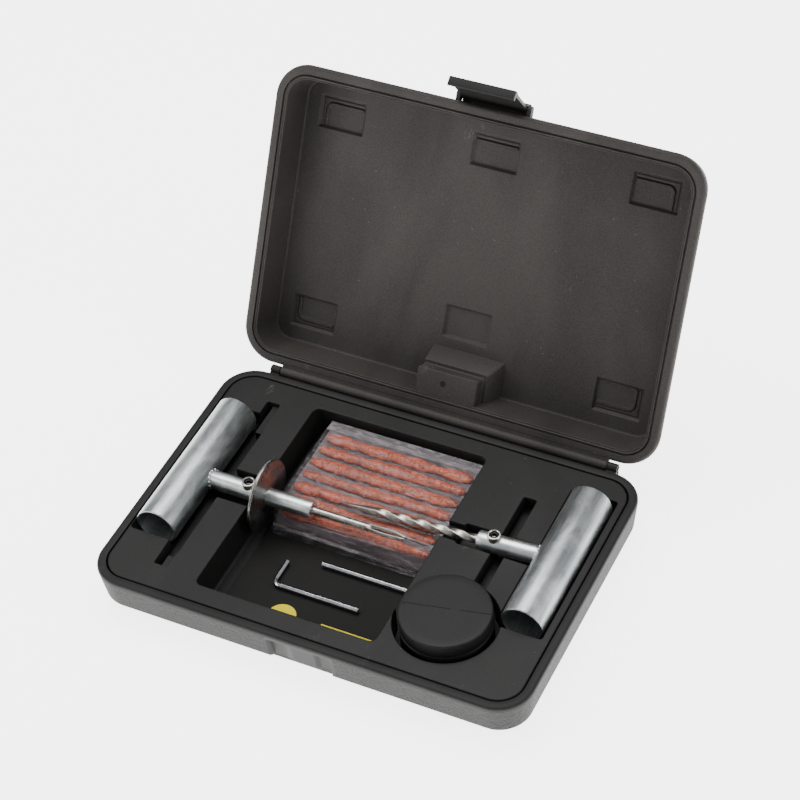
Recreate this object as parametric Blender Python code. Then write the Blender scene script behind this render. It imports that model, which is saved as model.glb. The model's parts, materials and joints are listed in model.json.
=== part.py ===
"""Tyre plug insertion kit: a moulded case with an open lid, two T-handle tools, plug strips, keys and a tub.

Every size below is in millimetres; objects are built in metres. X runs along the lid's hinge, Y to the
hinge side and Z up. The origin is the middle of the underside of the case.
"""

import math

import bmesh
import bpy
import numpy as np
from mathutils import Matrix, Vector

MM = 0.001

# ---- clearances -------------------------------------------------------------------------------------
GAP = 0.3  # between pieces that touch or run on each other
TRAY_GAP = 0.8  # visible seam between the rim of the case and its tray
POCKET_PLAY = 1.3  # sideways room round a handle in its pocket

# ---- case -------------------------------------------------------------------------------------------
CASE_X = 268.0
CASE_Y = 182.8
CASE_CORNER = 21.0
BASE_HEIGHT = 26.5
BASE_FLOOR = 1.6
RIM_BAND = 5.4
TRAY_CORNER = 15.0
WELL_FLOOR = 1.0  # thickness of the tray under the well
WALL_DRAFT = 2.5
FOOT_CHAMFER = 10.0
FOOT_HEIGHT = 5.6
FOOT_INNER = 11.0  # inset of the inner floor, inside the chamfered foot
FOOT_SOFTENING = (0.9, 1.1)  # inset and drop of the point that softens the foot's edge
RIM_ROUND = 2.4
RIM_ROUNDING = ((0.35, 0.9), (1.3, 0.15))  # inset and drop of the points round the rim's edge
TRAY_ROUNDING = ((0.0, 0.7), (0.25, 0.15), (0.8, 0.0))  # the same for the tray's edge
CUT_PAST = 2.0  # how far a cutter stands out of the face it opens
BORE_PAST = 1.0  # how far a drill runs past each end
TRAY_FOOT = 5.0  # how far the tray's bottom edge is drawn in to clear the foot
CORNER_STEPS = 6

# ---- lid and hinge ----------------------------------------------------------------------------------
LID_HEIGHT = 24.8
LID_HOLLOW = 21.8
LID_WALL = 7.4  # rim width of the lid, from its outline to the hollow
LID_HOLLOW_DRAFT = 3.6
LID_OUTSIDE = ((2.4, 0.0), (0.9, 0.3), (0.15, 1.4), (0.0, 4.0), (1.8, 10.0), (3.8, 16.0), (5.6, 20.5),
               (8.0, 23.6), (11.5, LID_HEIGHT))  # inset and height
OPEN_ANGLE = 119.24
HINGE_OFFSET = 3.0  # from the case's back wall to the hinge axis
HINGE_RADIUS = 2.6
HINGE_PIN_RADIUS = 1.1
HINGE_LEFT = -111.5
HINGE_RIGHT = 113.5
KNUCKLE_WIDTH = 6.2
KNUCKLE_WEB = (1.2, 0.4, 2.6, 0.4)  # into the wall, short of the axis, bottom and top below the rim
LID_WEB = (1.6, 0.6, 0.35, 2.3)  # into the lid, short of the axis, bottom and top off the rim plane
HINGE_PIN_SHORT = 0.5  # pin's end inside the knuckle
RECESS_X = 30.5
RECESS_Y = 20.6
RECESS_DEPTH = 1.6
RECESS_PITCH = 99.2
RECESS_ROWS = ((29.9, 48.6), (153.7, 153.7))  # side and middle recesses, off the hinge-side outline
BLOCK_LEFT = -18.0
BLOCK_RIGHT = 20.4
BLOCK_TOP = 0.3  # below the rim plane
BLOCK_BURIED = (1.5, 0.8)  # into the lid's wall and floor
BLOCK_FRONT = 27.0  # the block's far face, from the hinge-side outline

# ---- latch ------------------------------------------------------------------------------------------
LATCH_WIDTH = 41.0
LATCH_LENGTH = 26.8
LATCH_THICKNESS = 2.2
LATCH_OPEN = 26.6
LATCH_OUT = 3.2  # pivot in front of the lid's front wall
LATCH_UP = 8.0  # pivot behind the lid's rim plane
LATCH_BARREL = 2.6
LATCH_PIN_RADIUS = 1.2
LATCH_LIP = 2.8
LATCH_LIP_THICKNESS = 2.2
LATCH_PIN_SHORT = 0.2  # pin's end inside the ear
EAR_HALF = 2.6
EAR_REACH = 3.5  # past the lid's outline
HOOK_ROOM = 0.4  # behind the latch's lip
EAR_THICKNESS = 2.5
LATCH_RECESS = (6.0, 22.5)  # bottom and top of the recess in the base's front wall
LATCH_RECESS_PLAY = 0.6

# ---- T-handle tools ---------------------------------------------------------------------------------
HANDLE_RADIUS = 12.7
HANDLE_WALL = 1.5
HANDLE_LENGTH = 98.0
SHANK_RADIUS = 5.6
BOSS_RADIUS = 4.0
BOSS_TOP = 8.0  # above the shank's axis
BOSS_FOOT = 3.6  # where the boss starts, inside the shank
SHANK_SINK = 1.8  # shank's end inside the handle's outline
SCREW_FOOT = 0.5  # where the screw's hole starts
SCREW_CLEAR = 0.1  # screw's end off the needle's bore
SCREW_SINK = 0.7  # screw's face below the boss
SOCKET_DEPTH = 3.0
SCREW_RADIUS = 2.4
SOCKET_RADIUS = 1.45
TOOL_SINK = 0.5  # tool axes below the rim

NEEDLE_RADIUS = 2.25
NEEDLE_IN_SHANK = 20.0
NEEDLE_LENGTH = 111.3
EYE_LENGTH = 25.7
EYE_HALF_WIDTH = 3.1
EYE_THICKNESS = 3.0
EYE_STEPS = 9
EYE_SWELL = 1.15  # the widest place is at half the length over this
EYE_CHAMFER = (0.9, 0.62)  # share of the length where the tip narrows, and to what share of its width
EYE_SLOT = ((1.0, 0.3), (0.84, 0.35), (0.74, 1.5), (0.3, 1.6), (0.17, 0.5))  # share of the length, half width
EYE_ROOT = ((-3.0, 1.6), (-1.0, 1.6))  # the eye's tail, inside the needle
SLEEVE_RADIUS = 5.2
SLEEVE_LENGTH = 31.1
DISC_RADIUS = 22.0
DISC_THICKNESS = 2.0
INSERTION_SHANK = 33.6  # from the handle's surface to the shank's end
INSERTION_BOSS = 9.6  # from the shank's end
INSERTION_Y = 0.6
INSERTION_HANDLE_SHIFT = 3.4  # handle's middle behind the shank
INSERTION_WALL_ROOM = 0.9  # tray material outside the insertion handle's pocket

RASP_SHANK = 34.8
RASP_BOSS = 9.6
RASP_Y = 18.0
RASP_HANDLE_SHIFT = -1.4
RASP_WALL_ROOM = 4.4  # tray material outside the rasp handle's pocket
RASP_YAW = -3.2
RASP_TILT = 0.8
RASP_HALF_SIDE = 2.25
RASP_TWIST_LENGTH = 60.0
RASP_CONE_LENGTH = 25.0
RASP_TURNS = 1.3
RASP_TIP = 0.4
RASP_STEPS = 36
RASP_NECK = (0.5, 2.5)  # where the round stem ends and the square begins, past the shank's end
RASP_CORNER = 1.37  # corner distance of the rounded square, as a share of its half side
RASP_STEM_RADIUS = 2.4
RASP_STEM_LENGTH = 20.0

# ---- tray pockets -----------------------------------------------------------------------------------
WELL_FROM_INSERTION = 41.2  # well's left side from the insertion handle's axis
WELL_FROM_RASP = 69.0  # well's right side from the rasp handle's axis
WELL_FRONT = -73.4
WELL_BACK = 74.6
WELL_CORNER = 4.0
INSERTION_CHANNEL = (-11.0, 12.7)  # front, back
RASP_CHANNEL = (8.5, 24.3)
RASP_CHANNEL_FULL = 59.6  # from the rasp handle's axis to the shallow step
RASP_STEP_NARROWER = (1.5, 2.0)  # front and back, against the channel
TROUGH_STEPS = 10
CHANNEL_DEPTH = 8.0
CHANNEL_STEP_DEPTH = 4.2
SLOT_DEPTH = 10.0
SLOT_LEDGE = 3.5
LEFT_SLOT = (12.0, 21.1, -58.7, 45.6)  # left and right from the insertion handle's axis, front, back
LEFT_LEDGE = (12.2, 20.5, -68.7, 68.6)  # the same
RIGHT_SLOT = (-36.9, -29.0, -30.0, 54.8)  # left and right from the rasp handle's axis, front, back
HANDLE_END_PLAY = 5.0

# ---- contents of the well ---------------------------------------------------------------------------
CARD_MARGIN = (7.9, 1.4, 1.9, 2.1)  # off the well's left, right, front and back
CARD_THICKNESS = 0.4
PACK_MARGIN = (11.7, 0.9)  # off the well's left and right
PACK_BACK = 72.5
PACK_TOP = 3.8  # below the rim
PACK_FRONT = -8.0
PACK_SHOULDER = 12.0
STRIP_COUNT = 7
STRIP_PITCH = 10.3
STRIP_WIDTH = 6.6
STRIP_THICKNESS = 4.4
STRIP_INSET = 1.2
FLAT_STRIPS = 5  # on top; the others lie on the shoulder
SHOULDER_STRIP_SMALLER = 1.6
SHOULDER_FIRST_ANGLE = 28.0
SHOULDER_PITCH_ANGLE = 38.0
CORE_SIDE_INSET = 0.8
CORE_BACK_INSET = 2.0
FIRST_STRIP = 60.7
FILM_THICKNESS = 0.4
KEY_RADIUS = 1.55
KEY_1_CORNER = (30.9, -42.0)  # off the well's left side, and y
KEY_2_CORNER = (4.0, -18.6)  # off the well's right side, and y
KEY_1_LEGS = (54.0, 18.0)  # long, short
KEY_2_LEGS = (58.2, 17.0)
KEY_BEND = 4.0
KEY_BEND_STEPS = 4

# ---- tub --------------------------------------------------------------------------------------------
TUB_FROM_RASP = 39.3  # tub's axis from the rasp handle's
TUB_Y = -44.7
TUB_RADIUS = 26.2
TUB_HEIGHT = 24.2
TUB_WALL = 1.3
TUB_NECK_RADIUS = 24.2
TUB_NECK = 8.0
CAP_RADIUS = 26.6
CAP_HEIGHT = 10.0
CAP_TOP = 1.6
TUB_POCKET_RADIUS = 29.8
TUB_POCKET_DEPTH = 18.3
TUB_EDGE = 0.8
CAP_EDGE = 0.6

# ---- values worked out from the sizes above ---------------------------------------------------------
HALF_X = CASE_X / 2
HALF_Y = CASE_Y / 2
RIM = BASE_HEIGHT
TRAY_X = HALF_X - RIM_BAND - TRAY_GAP
TRAY_Y = HALF_Y - RIM_BAND - TRAY_GAP
TRAY_BOTTOM = BASE_FLOOR + GAP
WELL_BOTTOM = TRAY_BOTTOM + WELL_FLOOR
TOOL_AXIS = RIM - TOOL_SINK
HINGE_Y = HALF_Y + HINGE_OFFSET
HINGE_Z = RIM + GAP / 2
POCKET_HALF = HANDLE_RADIUS + POCKET_PLAY
INSERTION_X = -(TRAY_X - INSERTION_WALL_ROOM - POCKET_HALF)
RASP_X = TRAY_X - RASP_WALL_ROOM - POCKET_HALF
RASP_CHANNEL_STEP = RASP_X - RASP_CHANNEL_FULL
WELL_LEFT = INSERTION_X + WELL_FROM_INSERTION
WELL_RIGHT = RASP_X - WELL_FROM_RASP
PACK_LEFT = WELL_LEFT + PACK_MARGIN[0]
PACK_RIGHT = WELL_RIGHT - PACK_MARGIN[1]
TUB_X = RASP_X - TUB_FROM_RASP


# ---- makers -----------------------------------------------------------------------------------------
def material(name, colour, roughness, metallic=0.0):
    """A Principled material with a plain colour."""
    made = bpy.data.materials.new(name)
    made.use_nodes = True
    shader = made.node_tree.nodes["Principled BSDF"]
    shader.inputs["Base Color"].default_value = (*colour, 1.0)
    shader.inputs["Roughness"].default_value = roughness
    shader.inputs["Metallic"].default_value = metallic
    return made


def finish(name, bm, made, parent=None, smooth=True):
    """Turns a bmesh in millimetres into a named object in metres."""
    bmesh.ops.recalc_face_normals(bm, faces=bm.faces)
    bmesh.ops.scale(bm, vec=(MM, MM, MM), verts=bm.verts)
    mesh = bpy.data.meshes.new(name)
    bm.to_mesh(mesh)
    bm.free()
    obj = bpy.data.objects.new(name, mesh)
    bpy.context.scene.collection.objects.link(obj)
    if made:
        mesh.materials.append(made)
    if smooth:
        mesh.shade_smooth()
        mesh.set_sharp_from_angle(angle=math.radians(35))
    obj.parent = parent
    return obj


def frame(name, place, rotation=(0.0, 0.0, 0.0), parent=None):
    """An empty at a place in millimetres, turned by angles in degrees."""
    empty = bpy.data.objects.new(name, None)
    bpy.context.scene.collection.objects.link(empty)
    empty.location = Vector(place) * MM
    empty.rotation_euler = [math.radians(angle) for angle in rotation]
    empty.parent = parent
    return empty


def rounded(half_x, half_y, radius, steps=CORNER_STEPS):
    """Points round a rectangle with round corners, anticlockwise seen from +Z."""
    points = []
    for corner, (sign_x, sign_y) in enumerate([(1, 1), (-1, 1), (-1, -1), (1, -1)]):
        for step in range(steps + 1):
            angle = math.radians(90 * (corner + step / steps))
            x = sign_x * (half_x - radius) + radius * math.cos(angle)
            y = sign_y * (half_y - radius) + radius * math.sin(angle)
            points.append((x, y))
    return points


def loft(rings):
    """A closed solid through rings that have equal numbers of points, capped at both ends."""
    bm = bmesh.new()
    rows = [[bm.verts.new(point) for point in ring] for ring in rings]
    for lower, upper in zip(rows, rows[1:]):
        for i in range(len(lower)):
            j = (i + 1) % len(lower)
            bm.faces.new((lower[i], lower[j], upper[j], upper[i]))
    bm.faces.new(rows[0][::-1])
    bm.faces.new(rows[-1])
    return bm


def outline_rings(half_x, half_y, corner, profile, centre_y=0.0):
    """Rounded outlines for a profile of (inset, z) pairs."""
    rings = []
    for inset, z in profile:
        points = rounded(half_x - inset, half_y - inset, max(corner - inset, 1.0))
        rings.append([(x, y + centre_y, z) for x, y in points])
    return rings


def box(low, high):
    """A plain block between two corners."""
    bm = bmesh.new()
    bmesh.ops.create_cube(bm, size=1.0)
    size = Vector(high) - Vector(low)
    middle = (Vector(high) + Vector(low)) / 2
    bmesh.ops.scale(bm, vec=size, verts=bm.verts)
    bmesh.ops.translate(bm, vec=middle, verts=bm.verts)
    return bm


def prism(outline, low, high, axis="Z"):
    """An outline of (a, b) points carried along an axis from low to high."""
    place = {
        "X": lambda a, b, t: (t, a, b),
        "Y": lambda a, b, t: (a, t, b),
        "Z": lambda a, b, t: (a, b, t),
    }[axis]
    return loft([[place(a, b, t) for a, b in outline] for t in (low, high)])


def turned(profile, sides=24, axis="X"):
    """A solid of revolution: a closed outline of (along, radius) points turned round an axis."""
    place = {
        "X": lambda t, c, s: (t, c, s),
        "Y": lambda t, c, s: (s, t, c),
        "Z": lambda t, c, s: (c, s, t),
    }[axis]
    bm = bmesh.new()
    rows = []
    for along, radius in profile:
        if radius == 0:
            rows.append([bm.verts.new(place(along, 0.0, 0.0))] * sides)
            continue
        angles = [2 * math.pi * i / sides for i in range(sides)]
        rows.append([bm.verts.new(place(along, radius * math.cos(a), radius * math.sin(a))) for a in angles])
    for first, second in zip(rows, rows[1:] + rows[:1]):
        for i in range(sides):
            j = (i + 1) % sides
            corners = [first[i], first[j], second[j], second[i]]
            distinct = list(dict.fromkeys(corners))
            if len(distinct) > 2:
                bm.faces.new(distinct)
    return bm


def rod(start, end, radius, sides=24, axis="X"):
    """A plain round bar."""
    return turned([(start, 0), (start, radius), (end, radius), (end, 0)], sides, axis)


def pipe(start, end, outer, inner, sides=24, axis="X"):
    """A bar with a hole right through."""
    return turned([(start, inner), (start, outer), (end, outer), (end, inner)], sides, axis)


def blind(start, end, outer, inner, depth, sides=24, axis="X"):
    """A bar with a hole of the given depth in its far end."""
    profile = [(start, 0), (start, outer), (end, outer), (end, inner), (end - depth, inner), (end - depth, 0)]
    return turned(profile, sides, axis)


def helper(name, bm, parent=None):
    """A hidden shape that a Boolean uses."""
    obj = finish(name, bm, None, parent, smooth=False)
    obj.hide_render = True
    obj.display_type = "WIRE"
    return obj


def combine(target, tool, operation):
    """Adds an exact Boolean to a target."""
    modifier = target.modifiers.new(tool.name, "BOOLEAN")
    modifier.operation = operation
    modifier.solver = "EXACT"
    modifier.object = tool


def cut(target, name, bm, parent=None):
    combine(target, helper(name, bm, parent), "DIFFERENCE")


def join(target, name, bm, parent=None):
    combine(target, helper(name, bm, parent), "UNION")


# ---- case -------------------------------------------------------------------------------------------
def case_base(plastic):
    """Open tub with a flat rim; two end knuckles stand on its back wall and a recess takes the latch."""
    profile = [
        (FOOT_CHAMFER, 0.0),
        (WALL_DRAFT + FOOT_SOFTENING[0], FOOT_HEIGHT - FOOT_SOFTENING[1]),
        (WALL_DRAFT, FOOT_HEIGHT),
        (0.0, RIM - RIM_ROUND),
        *[(inset, RIM - drop) for inset, drop in RIM_ROUNDING],
        (RIM_ROUND, RIM),
        (RIM_BAND, RIM),
        (RIM_BAND, FOOT_HEIGHT),
        (FOOT_INNER, BASE_FLOOR),
    ]
    base = finish("case_base", loft(outline_rings(HALF_X, HALF_Y, CASE_CORNER, profile)), plastic)
    ends = [(HINGE_LEFT, HINGE_LEFT + KNUCKLE_WIDTH), (HINGE_RIGHT - KNUCKLE_WIDTH, HINGE_RIGHT)]
    axis = frame("base_hinge_axis", (0, HINGE_Y, HINGE_Z))
    for index, (start, end) in enumerate(ends):
        into, short, low, high = KNUCKLE_WEB
        web = box((start, HALF_Y - into, RIM - low), (end, HINGE_Y - short, RIM - high))
        join(base, f"base_web_{index}", web)
        join(base, f"base_knuckle_{index}", rod(start, end, HINGE_RADIUS, 16), axis)
        cut(base, f"base_bore_{index}", rod(start - BORE_PAST, end + BORE_PAST, HINGE_PIN_RADIUS + GAP, 12), axis)
    half = LATCH_WIDTH / 2 + LATCH_RECESS_PLAY
    low, high = LATCH_RECESS
    recess = box((-half, -HALF_Y - CUT_PAST, low), (half, LATCH_LIP + HOOK_ROOM - HALF_Y, high))
    cut(base, "base_latch_recess", recess)
    return base


def handle_pocket(centre_x, middle_y):
    """U-shaped trough for half a handle: a half round below straight sides."""
    arc = [math.radians(180 + 180 * i / TROUGH_STEPS) for i in range(TROUGH_STEPS + 1)]
    outline = [(centre_x + POCKET_HALF * math.cos(a), TOOL_AXIS + POCKET_HALF * math.sin(a)) for a in arc]
    outline += [(centre_x + POCKET_HALF, RIM + CUT_PAST), (centre_x - POCKET_HALF, RIM + CUT_PAST)]
    half = HANDLE_LENGTH / 2 + HANDLE_END_PLAY
    return prism(outline, middle_y - half, middle_y + half, "Y")


def case_tray(plastic):
    """Moulded insert with a deep well, two handle troughs, shank channels, slots and the tub's pocket."""
    profile = [(TRAY_FOOT, TRAY_BOTTOM), (0.0, FOOT_HEIGHT + 2 * GAP)]
    profile += [(inset, RIM - drop) for inset, drop in TRAY_ROUNDING]
    tray = finish("case_tray", loft(outline_rings(TRAY_X, TRAY_Y, TRAY_CORNER, profile)), plastic)
    top = RIM + CUT_PAST
    left, right = WELL_LEFT, WELL_RIGHT
    well = rounded((right - left) / 2, (WELL_BACK - WELL_FRONT) / 2, WELL_CORNER, 3)
    well = [(x + (left + right) / 2, y + (WELL_FRONT + WELL_BACK) / 2) for x, y in well]
    cut(tray, "tray_well", prism(well, WELL_BOTTOM, top))
    cut(tray, "tray_insertion_trough", handle_pocket(INSERTION_X, INSERTION_Y + INSERTION_HANDLE_SHIFT))
    cut(tray, "tray_rasp_trough", handle_pocket(RASP_X, RASP_Y + RASP_HANDLE_SHIFT))
    low, high = INSERTION_CHANNEL
    channel = box((INSERTION_X, low, RIM - CHANNEL_DEPTH), (left + 1, high, top))
    cut(tray, "tray_insertion_channel", channel)
    low, high = RASP_CHANNEL
    channel = box((RASP_CHANNEL_STEP, low, RIM - CHANNEL_DEPTH), (RASP_X, high, top))
    cut(tray, "tray_rasp_channel", channel)
    front_less, back_less = RASP_STEP_NARROWER
    step = box((right - 1, low + front_less, RIM - CHANNEL_STEP_DEPTH),
               (RASP_CHANNEL_STEP + 1, high - back_less, top))
    cut(tray, "tray_rasp_step", step)
    slots = {
        "tray_left_slot": (INSERTION_X, LEFT_SLOT, SLOT_DEPTH),
        "tray_left_ledge": (INSERTION_X, LEFT_LEDGE, SLOT_LEDGE),
        "tray_right_slot": (RASP_X, RIGHT_SLOT, SLOT_DEPTH),
    }
    for name, (axis_x, (low_x, high_x, low_y, high_y), depth) in slots.items():
        cut(tray, name, box((axis_x + low_x, low_y, RIM - depth), (axis_x + high_x, high_y, top)))
    pocket = turned([(RIM - TUB_POCKET_DEPTH, 0), (RIM - TUB_POCKET_DEPTH, TUB_POCKET_RADIUS),
                     (top, TUB_POCKET_RADIUS), (top, 0)], 40, "Z")
    bmesh.ops.translate(pocket, vec=(TUB_X, TUB_Y, 0), verts=pocket.verts)
    cut(tray, "tray_tub_pocket", pocket)
    return tray


def hinge_pin(steel):
    """Straight wire through the knuckles."""
    axis = frame("hinge_pin_axis", (0, HINGE_Y, HINGE_Z))
    wire = rod(HINGE_LEFT + HINGE_PIN_SHORT, HINGE_RIGHT - HINGE_PIN_SHORT, HINGE_PIN_RADIUS, 12)
    return finish("hinge_pin", wire, steel, axis)


# ---- lid --------------------------------------------------------------------------------------------
def lid_place(x, v, h):
    """A place in the lid's own frame from the distance v off the hinge-side outline and height h."""
    return (x, -(v + HINGE_OFFSET), h + GAP / 2)


def case_lid(plastic, axis):
    """Shallow tray that turns on the hinge; its hollow has six shallow recesses and a block."""
    hollow = [(LID_WALL, 0.0), (LID_WALL + LID_HOLLOW_DRAFT, LID_HOLLOW)]
    profile = [*LID_OUTSIDE[::-1], *hollow]
    centre_y = -(HALF_Y + HINGE_OFFSET)
    rings = outline_rings(HALF_X, HALF_Y, CASE_CORNER, [(i, h + GAP / 2) for i, h in profile], centre_y)
    lid = finish("lid", loft(rings), plastic, axis)
    into_wall, into_floor = BLOCK_BURIED
    block = box(lid_place(BLOCK_LEFT, BLOCK_FRONT, BLOCK_TOP),
                lid_place(BLOCK_RIGHT, LID_WALL - into_wall, LID_HOLLOW + into_floor))
    join(lid, "lid_block", block, axis)
    for row, (side_v, middle_v) in enumerate(RECESS_ROWS):
        for column in (-1, 0, 1):
            v = middle_v if column == 0 else side_v
            x = column * RECESS_PITCH
            low = lid_place(x - RECESS_X / 2, v + RECESS_Y / 2, LID_HOLLOW - 1)
            high = lid_place(x + RECESS_X / 2, v - RECESS_Y / 2, LID_HOLLOW + RECESS_DEPTH)
            cut(lid, f"lid_recess_{row}_{column + 1}", box(low, high), axis)
    start = HINGE_LEFT + KNUCKLE_WIDTH + GAP
    end = HINGE_RIGHT - KNUCKLE_WIDTH - GAP
    into, short, low, high = LID_WEB
    join(lid, "lid_web", box((start, -HINGE_OFFSET - into, low), (end, -short, high)), axis)
    join(lid, "lid_barrel", rod(start, end, HINGE_RADIUS, 16), axis)
    cut(lid, "lid_bore", rod(start - BORE_PAST, end + BORE_PAST, HINGE_PIN_RADIUS + GAP, 12), axis)
    pivot = Vector(lid_place(0, CASE_Y + LATCH_OUT, LATCH_UP))
    inner = LATCH_WIDTH / 2 + GAP
    outer = inner + EAR_THICKNESS
    for index, (start, end) in enumerate([(-outer, -inner), (inner, outer)]):
        ear = box((start, pivot.y - EAR_HALF, pivot.z - EAR_HALF),
                  (end, pivot.y + LATCH_OUT + EAR_REACH, pivot.z + EAR_HALF))
        join(lid, f"lid_ear_{index}", ear, axis)
    bore = rod(-outer - BORE_PAST, outer + BORE_PAST, LATCH_PIN_RADIUS + GAP, 12)
    bmesh.ops.translate(bore, vec=pivot, verts=bore.verts)
    cut(lid, "lid_latch_bore", bore, axis)
    return lid


def latch_pieces(plastic, steel, axis):
    """Snap latch: barrel on a pin, plate and a lip that hooks into the base."""
    pivot = frame("latch_axis", lid_place(0, CASE_Y + LATCH_OUT, LATCH_UP), (-LATCH_OPEN, 0, 0), axis)
    half = LATCH_WIDTH / 2
    latch = finish("latch", rod(-half, half, LATCH_BARREL, 16), plastic, pivot)
    plate = box((-half, -LATCH_THICKNESS / 2, -LATCH_LENGTH), (half, LATCH_THICKNESS / 2, 0))
    join(latch, "latch_plate", plate, pivot)
    lip = box((-half, -LATCH_THICKNESS / 2, -LATCH_LENGTH),
              (half, LATCH_THICKNESS / 2 + LATCH_LIP, LATCH_LIP_THICKNESS - LATCH_LENGTH))
    join(latch, "latch_lip", lip, pivot)
    cut(latch, "latch_bore", rod(-half - BORE_PAST, half + BORE_PAST, LATCH_PIN_RADIUS + GAP, 12), pivot)
    length = half + GAP + EAR_THICKNESS - LATCH_PIN_SHORT
    finish("latch_pin", rod(-length, length, LATCH_PIN_RADIUS, 12), steel, pivot)
    return pivot


# ---- tools ------------------------------------------------------------------------------------------
def handle_and_shank(prefix, zinc, black, handle_frame, tool_frame, shift, shank_length, boss_back, bore):
    """Tube handle across Y, shank along the tool's +X, and a boss with its socket screw."""
    half = HANDLE_LENGTH / 2
    inner = HANDLE_RADIUS - HANDLE_WALL
    tube = pipe(shift - half, shift + half, HANDLE_RADIUS, inner, 28, "Y")
    finish(f"{prefix}_handle", tube, zinc, handle_frame)
    end = HANDLE_RADIUS + shank_length
    bar = blind(HANDLE_RADIUS - SHANK_SINK, end, SHANK_RADIUS, bore, NEEDLE_IN_SHANK + BORE_PAST)
    shank = finish(f"{prefix}_shank", bar, zinc, tool_frame)
    cut(shank, f"{prefix}_shank_cope", rod(-half, half, HANDLE_RADIUS + GAP, 32, "Y"), handle_frame)
    boss_x = end - boss_back
    screw_axis = frame(f"{prefix}_screw_axis", (boss_x, 0, 0), parent=tool_frame)
    drill = SCREW_RADIUS + GAP
    cut(shank, f"{prefix}_screw_hole", rod(SCREW_FOOT, SHANK_RADIUS + CUT_PAST, drill, 16, "Z"), screw_axis)
    collar = pipe(BOSS_FOOT, BOSS_TOP, BOSS_RADIUS, drill, 20, "Z")
    boss = finish(f"{prefix}_screw_boss", collar, zinc, screw_axis)
    cut(boss, f"{prefix}_boss_cope", rod(-HANDLE_RADIUS, HANDLE_RADIUS, SHANK_RADIUS + GAP, 32), screw_axis)
    hexagon = blind(bore + SCREW_CLEAR, BOSS_TOP - SCREW_SINK, SCREW_RADIUS, SOCKET_RADIUS, SOCKET_DEPTH, 12, "Z")
    finish(f"{prefix}_set_screw", hexagon, black, screw_axis)
    return end


def eye_outline():
    """Forked eye seen from above: two prongs round a long slot that opens at the tip."""
    shares = [step / EYE_STEPS for step in range(EYE_STEPS + 1)]
    swell = [NEEDLE_RADIUS + (EYE_HALF_WIDTH - NEEDLE_RADIUS) * math.sin(math.pi * min(share * EYE_SWELL, 1.0))
             for share in shares]
    narrow_from, narrow = EYE_CHAMFER
    outer = [(EYE_LENGTH * share, half if share < narrow_from else half * narrow)
             for share, half in zip(shares, swell)]
    slot = [(EYE_LENGTH * share, half) for share, half in EYE_SLOT]
    side = [*EYE_ROOT, *outer[1:]]
    other = [(x, -y) for x, y in side[::-1]]
    return side + slot + [(x, -y) for x, y in slot[::-1]] + other


def insertion_tool(zinc, steel, black):
    """T-handle, flanged stop sleeve and the needle with the open eye that carries a plug."""
    place = frame("insertion_tool_frame", (INSERTION_X, INSERTION_Y, TOOL_AXIS))
    bore = NEEDLE_RADIUS + GAP
    end = handle_and_shank("insertion", zinc, black, place, place, INSERTION_HANDLE_SHIFT, INSERTION_SHANK,
                           INSERTION_BOSS, bore)
    start = end + GAP
    finish("stop_sleeve", pipe(start, start + SLEEVE_LENGTH, SLEEVE_RADIUS, bore), zinc, place)
    inner = SLEEVE_RADIUS + GAP
    disc = pipe(start, start + DISC_THICKNESS, DISC_RADIUS, inner, 40)
    finish("stop_disc", disc, steel, place)
    needle_start = end - NEEDLE_IN_SHANK
    neck = needle_start + NEEDLE_LENGTH - EYE_LENGTH
    needle = finish("insertion_needle", rod(needle_start, neck, NEEDLE_RADIUS, 16), steel, place)
    eye = prism(eye_outline(), -EYE_THICKNESS / 2, EYE_THICKNESS / 2)
    bmesh.ops.translate(eye, vec=(neck, 0, 0), verts=eye.verts)
    join(needle, "insertion_eye", eye, place)
    return end


def square_ring(along, half_side, angle):
    """Eight points round a square bar with flattened corners, turned by an angle."""
    ring = []
    for step in range(8):
        distance = half_side * (RASP_CORNER if step % 2 else 1.0)
        a = angle + math.radians(45 * step)
        ring.append((along, distance * math.cos(a), distance * math.sin(a)))
    return ring


def rasp_tool(zinc, steel, black):
    """T-handle with a twisted square rasp that tapers to a long point."""
    handle_frame = frame("rasp_handle_frame", (RASP_X, RASP_Y, TOOL_AXIS), (0, 0, 180))
    tool_frame = frame("rasp_tool_frame", (RASP_X, RASP_Y, TOOL_AXIS), (0, -RASP_TILT, 180 - RASP_YAW))
    bore = RASP_STEM_RADIUS + GAP
    end = handle_and_shank("rasp", zinc, black, handle_frame, tool_frame, -RASP_HANDLE_SHIFT, RASP_SHANK,
                           RASP_BOSS, bore)
    stem_end, square_start = RASP_NECK
    rings = []
    stem_sides = [math.radians(45 * i) for i in range(8)]
    for along in (end - RASP_STEM_LENGTH, end + stem_end):
        ring = [(along, RASP_STEM_RADIUS * math.cos(a), RASP_STEM_RADIUS * math.sin(a)) for a in stem_sides]
        rings.append(ring)
    for step in range(RASP_STEPS + 1):
        share = step / RASP_STEPS
        along = end + square_start + (RASP_TWIST_LENGTH - square_start) * share
        rings.append(square_ring(along, RASP_HALF_SIDE, 2 * math.pi * RASP_TURNS * share))
    tip = end + RASP_TWIST_LENGTH + RASP_CONE_LENGTH
    rings.append(square_ring(tip, RASP_TIP, 2 * math.pi * RASP_TURNS))
    finish("rasp_bit", loft(rings), steel, tool_frame)
    return end


# ---- loose contents ---------------------------------------------------------------------------------
def instruction_card(paper):
    """Thin printed card on the floor of the well."""
    left, right, front, back = CARD_MARGIN
    low = WELL_BOTTOM + GAP
    sheet = box((WELL_LEFT + left, WELL_FRONT + front, low),
                (WELL_RIGHT - right, WELL_BACK - back, low + CARD_THICKNESS))
    return finish("instruction_card", sheet, paper)


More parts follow.
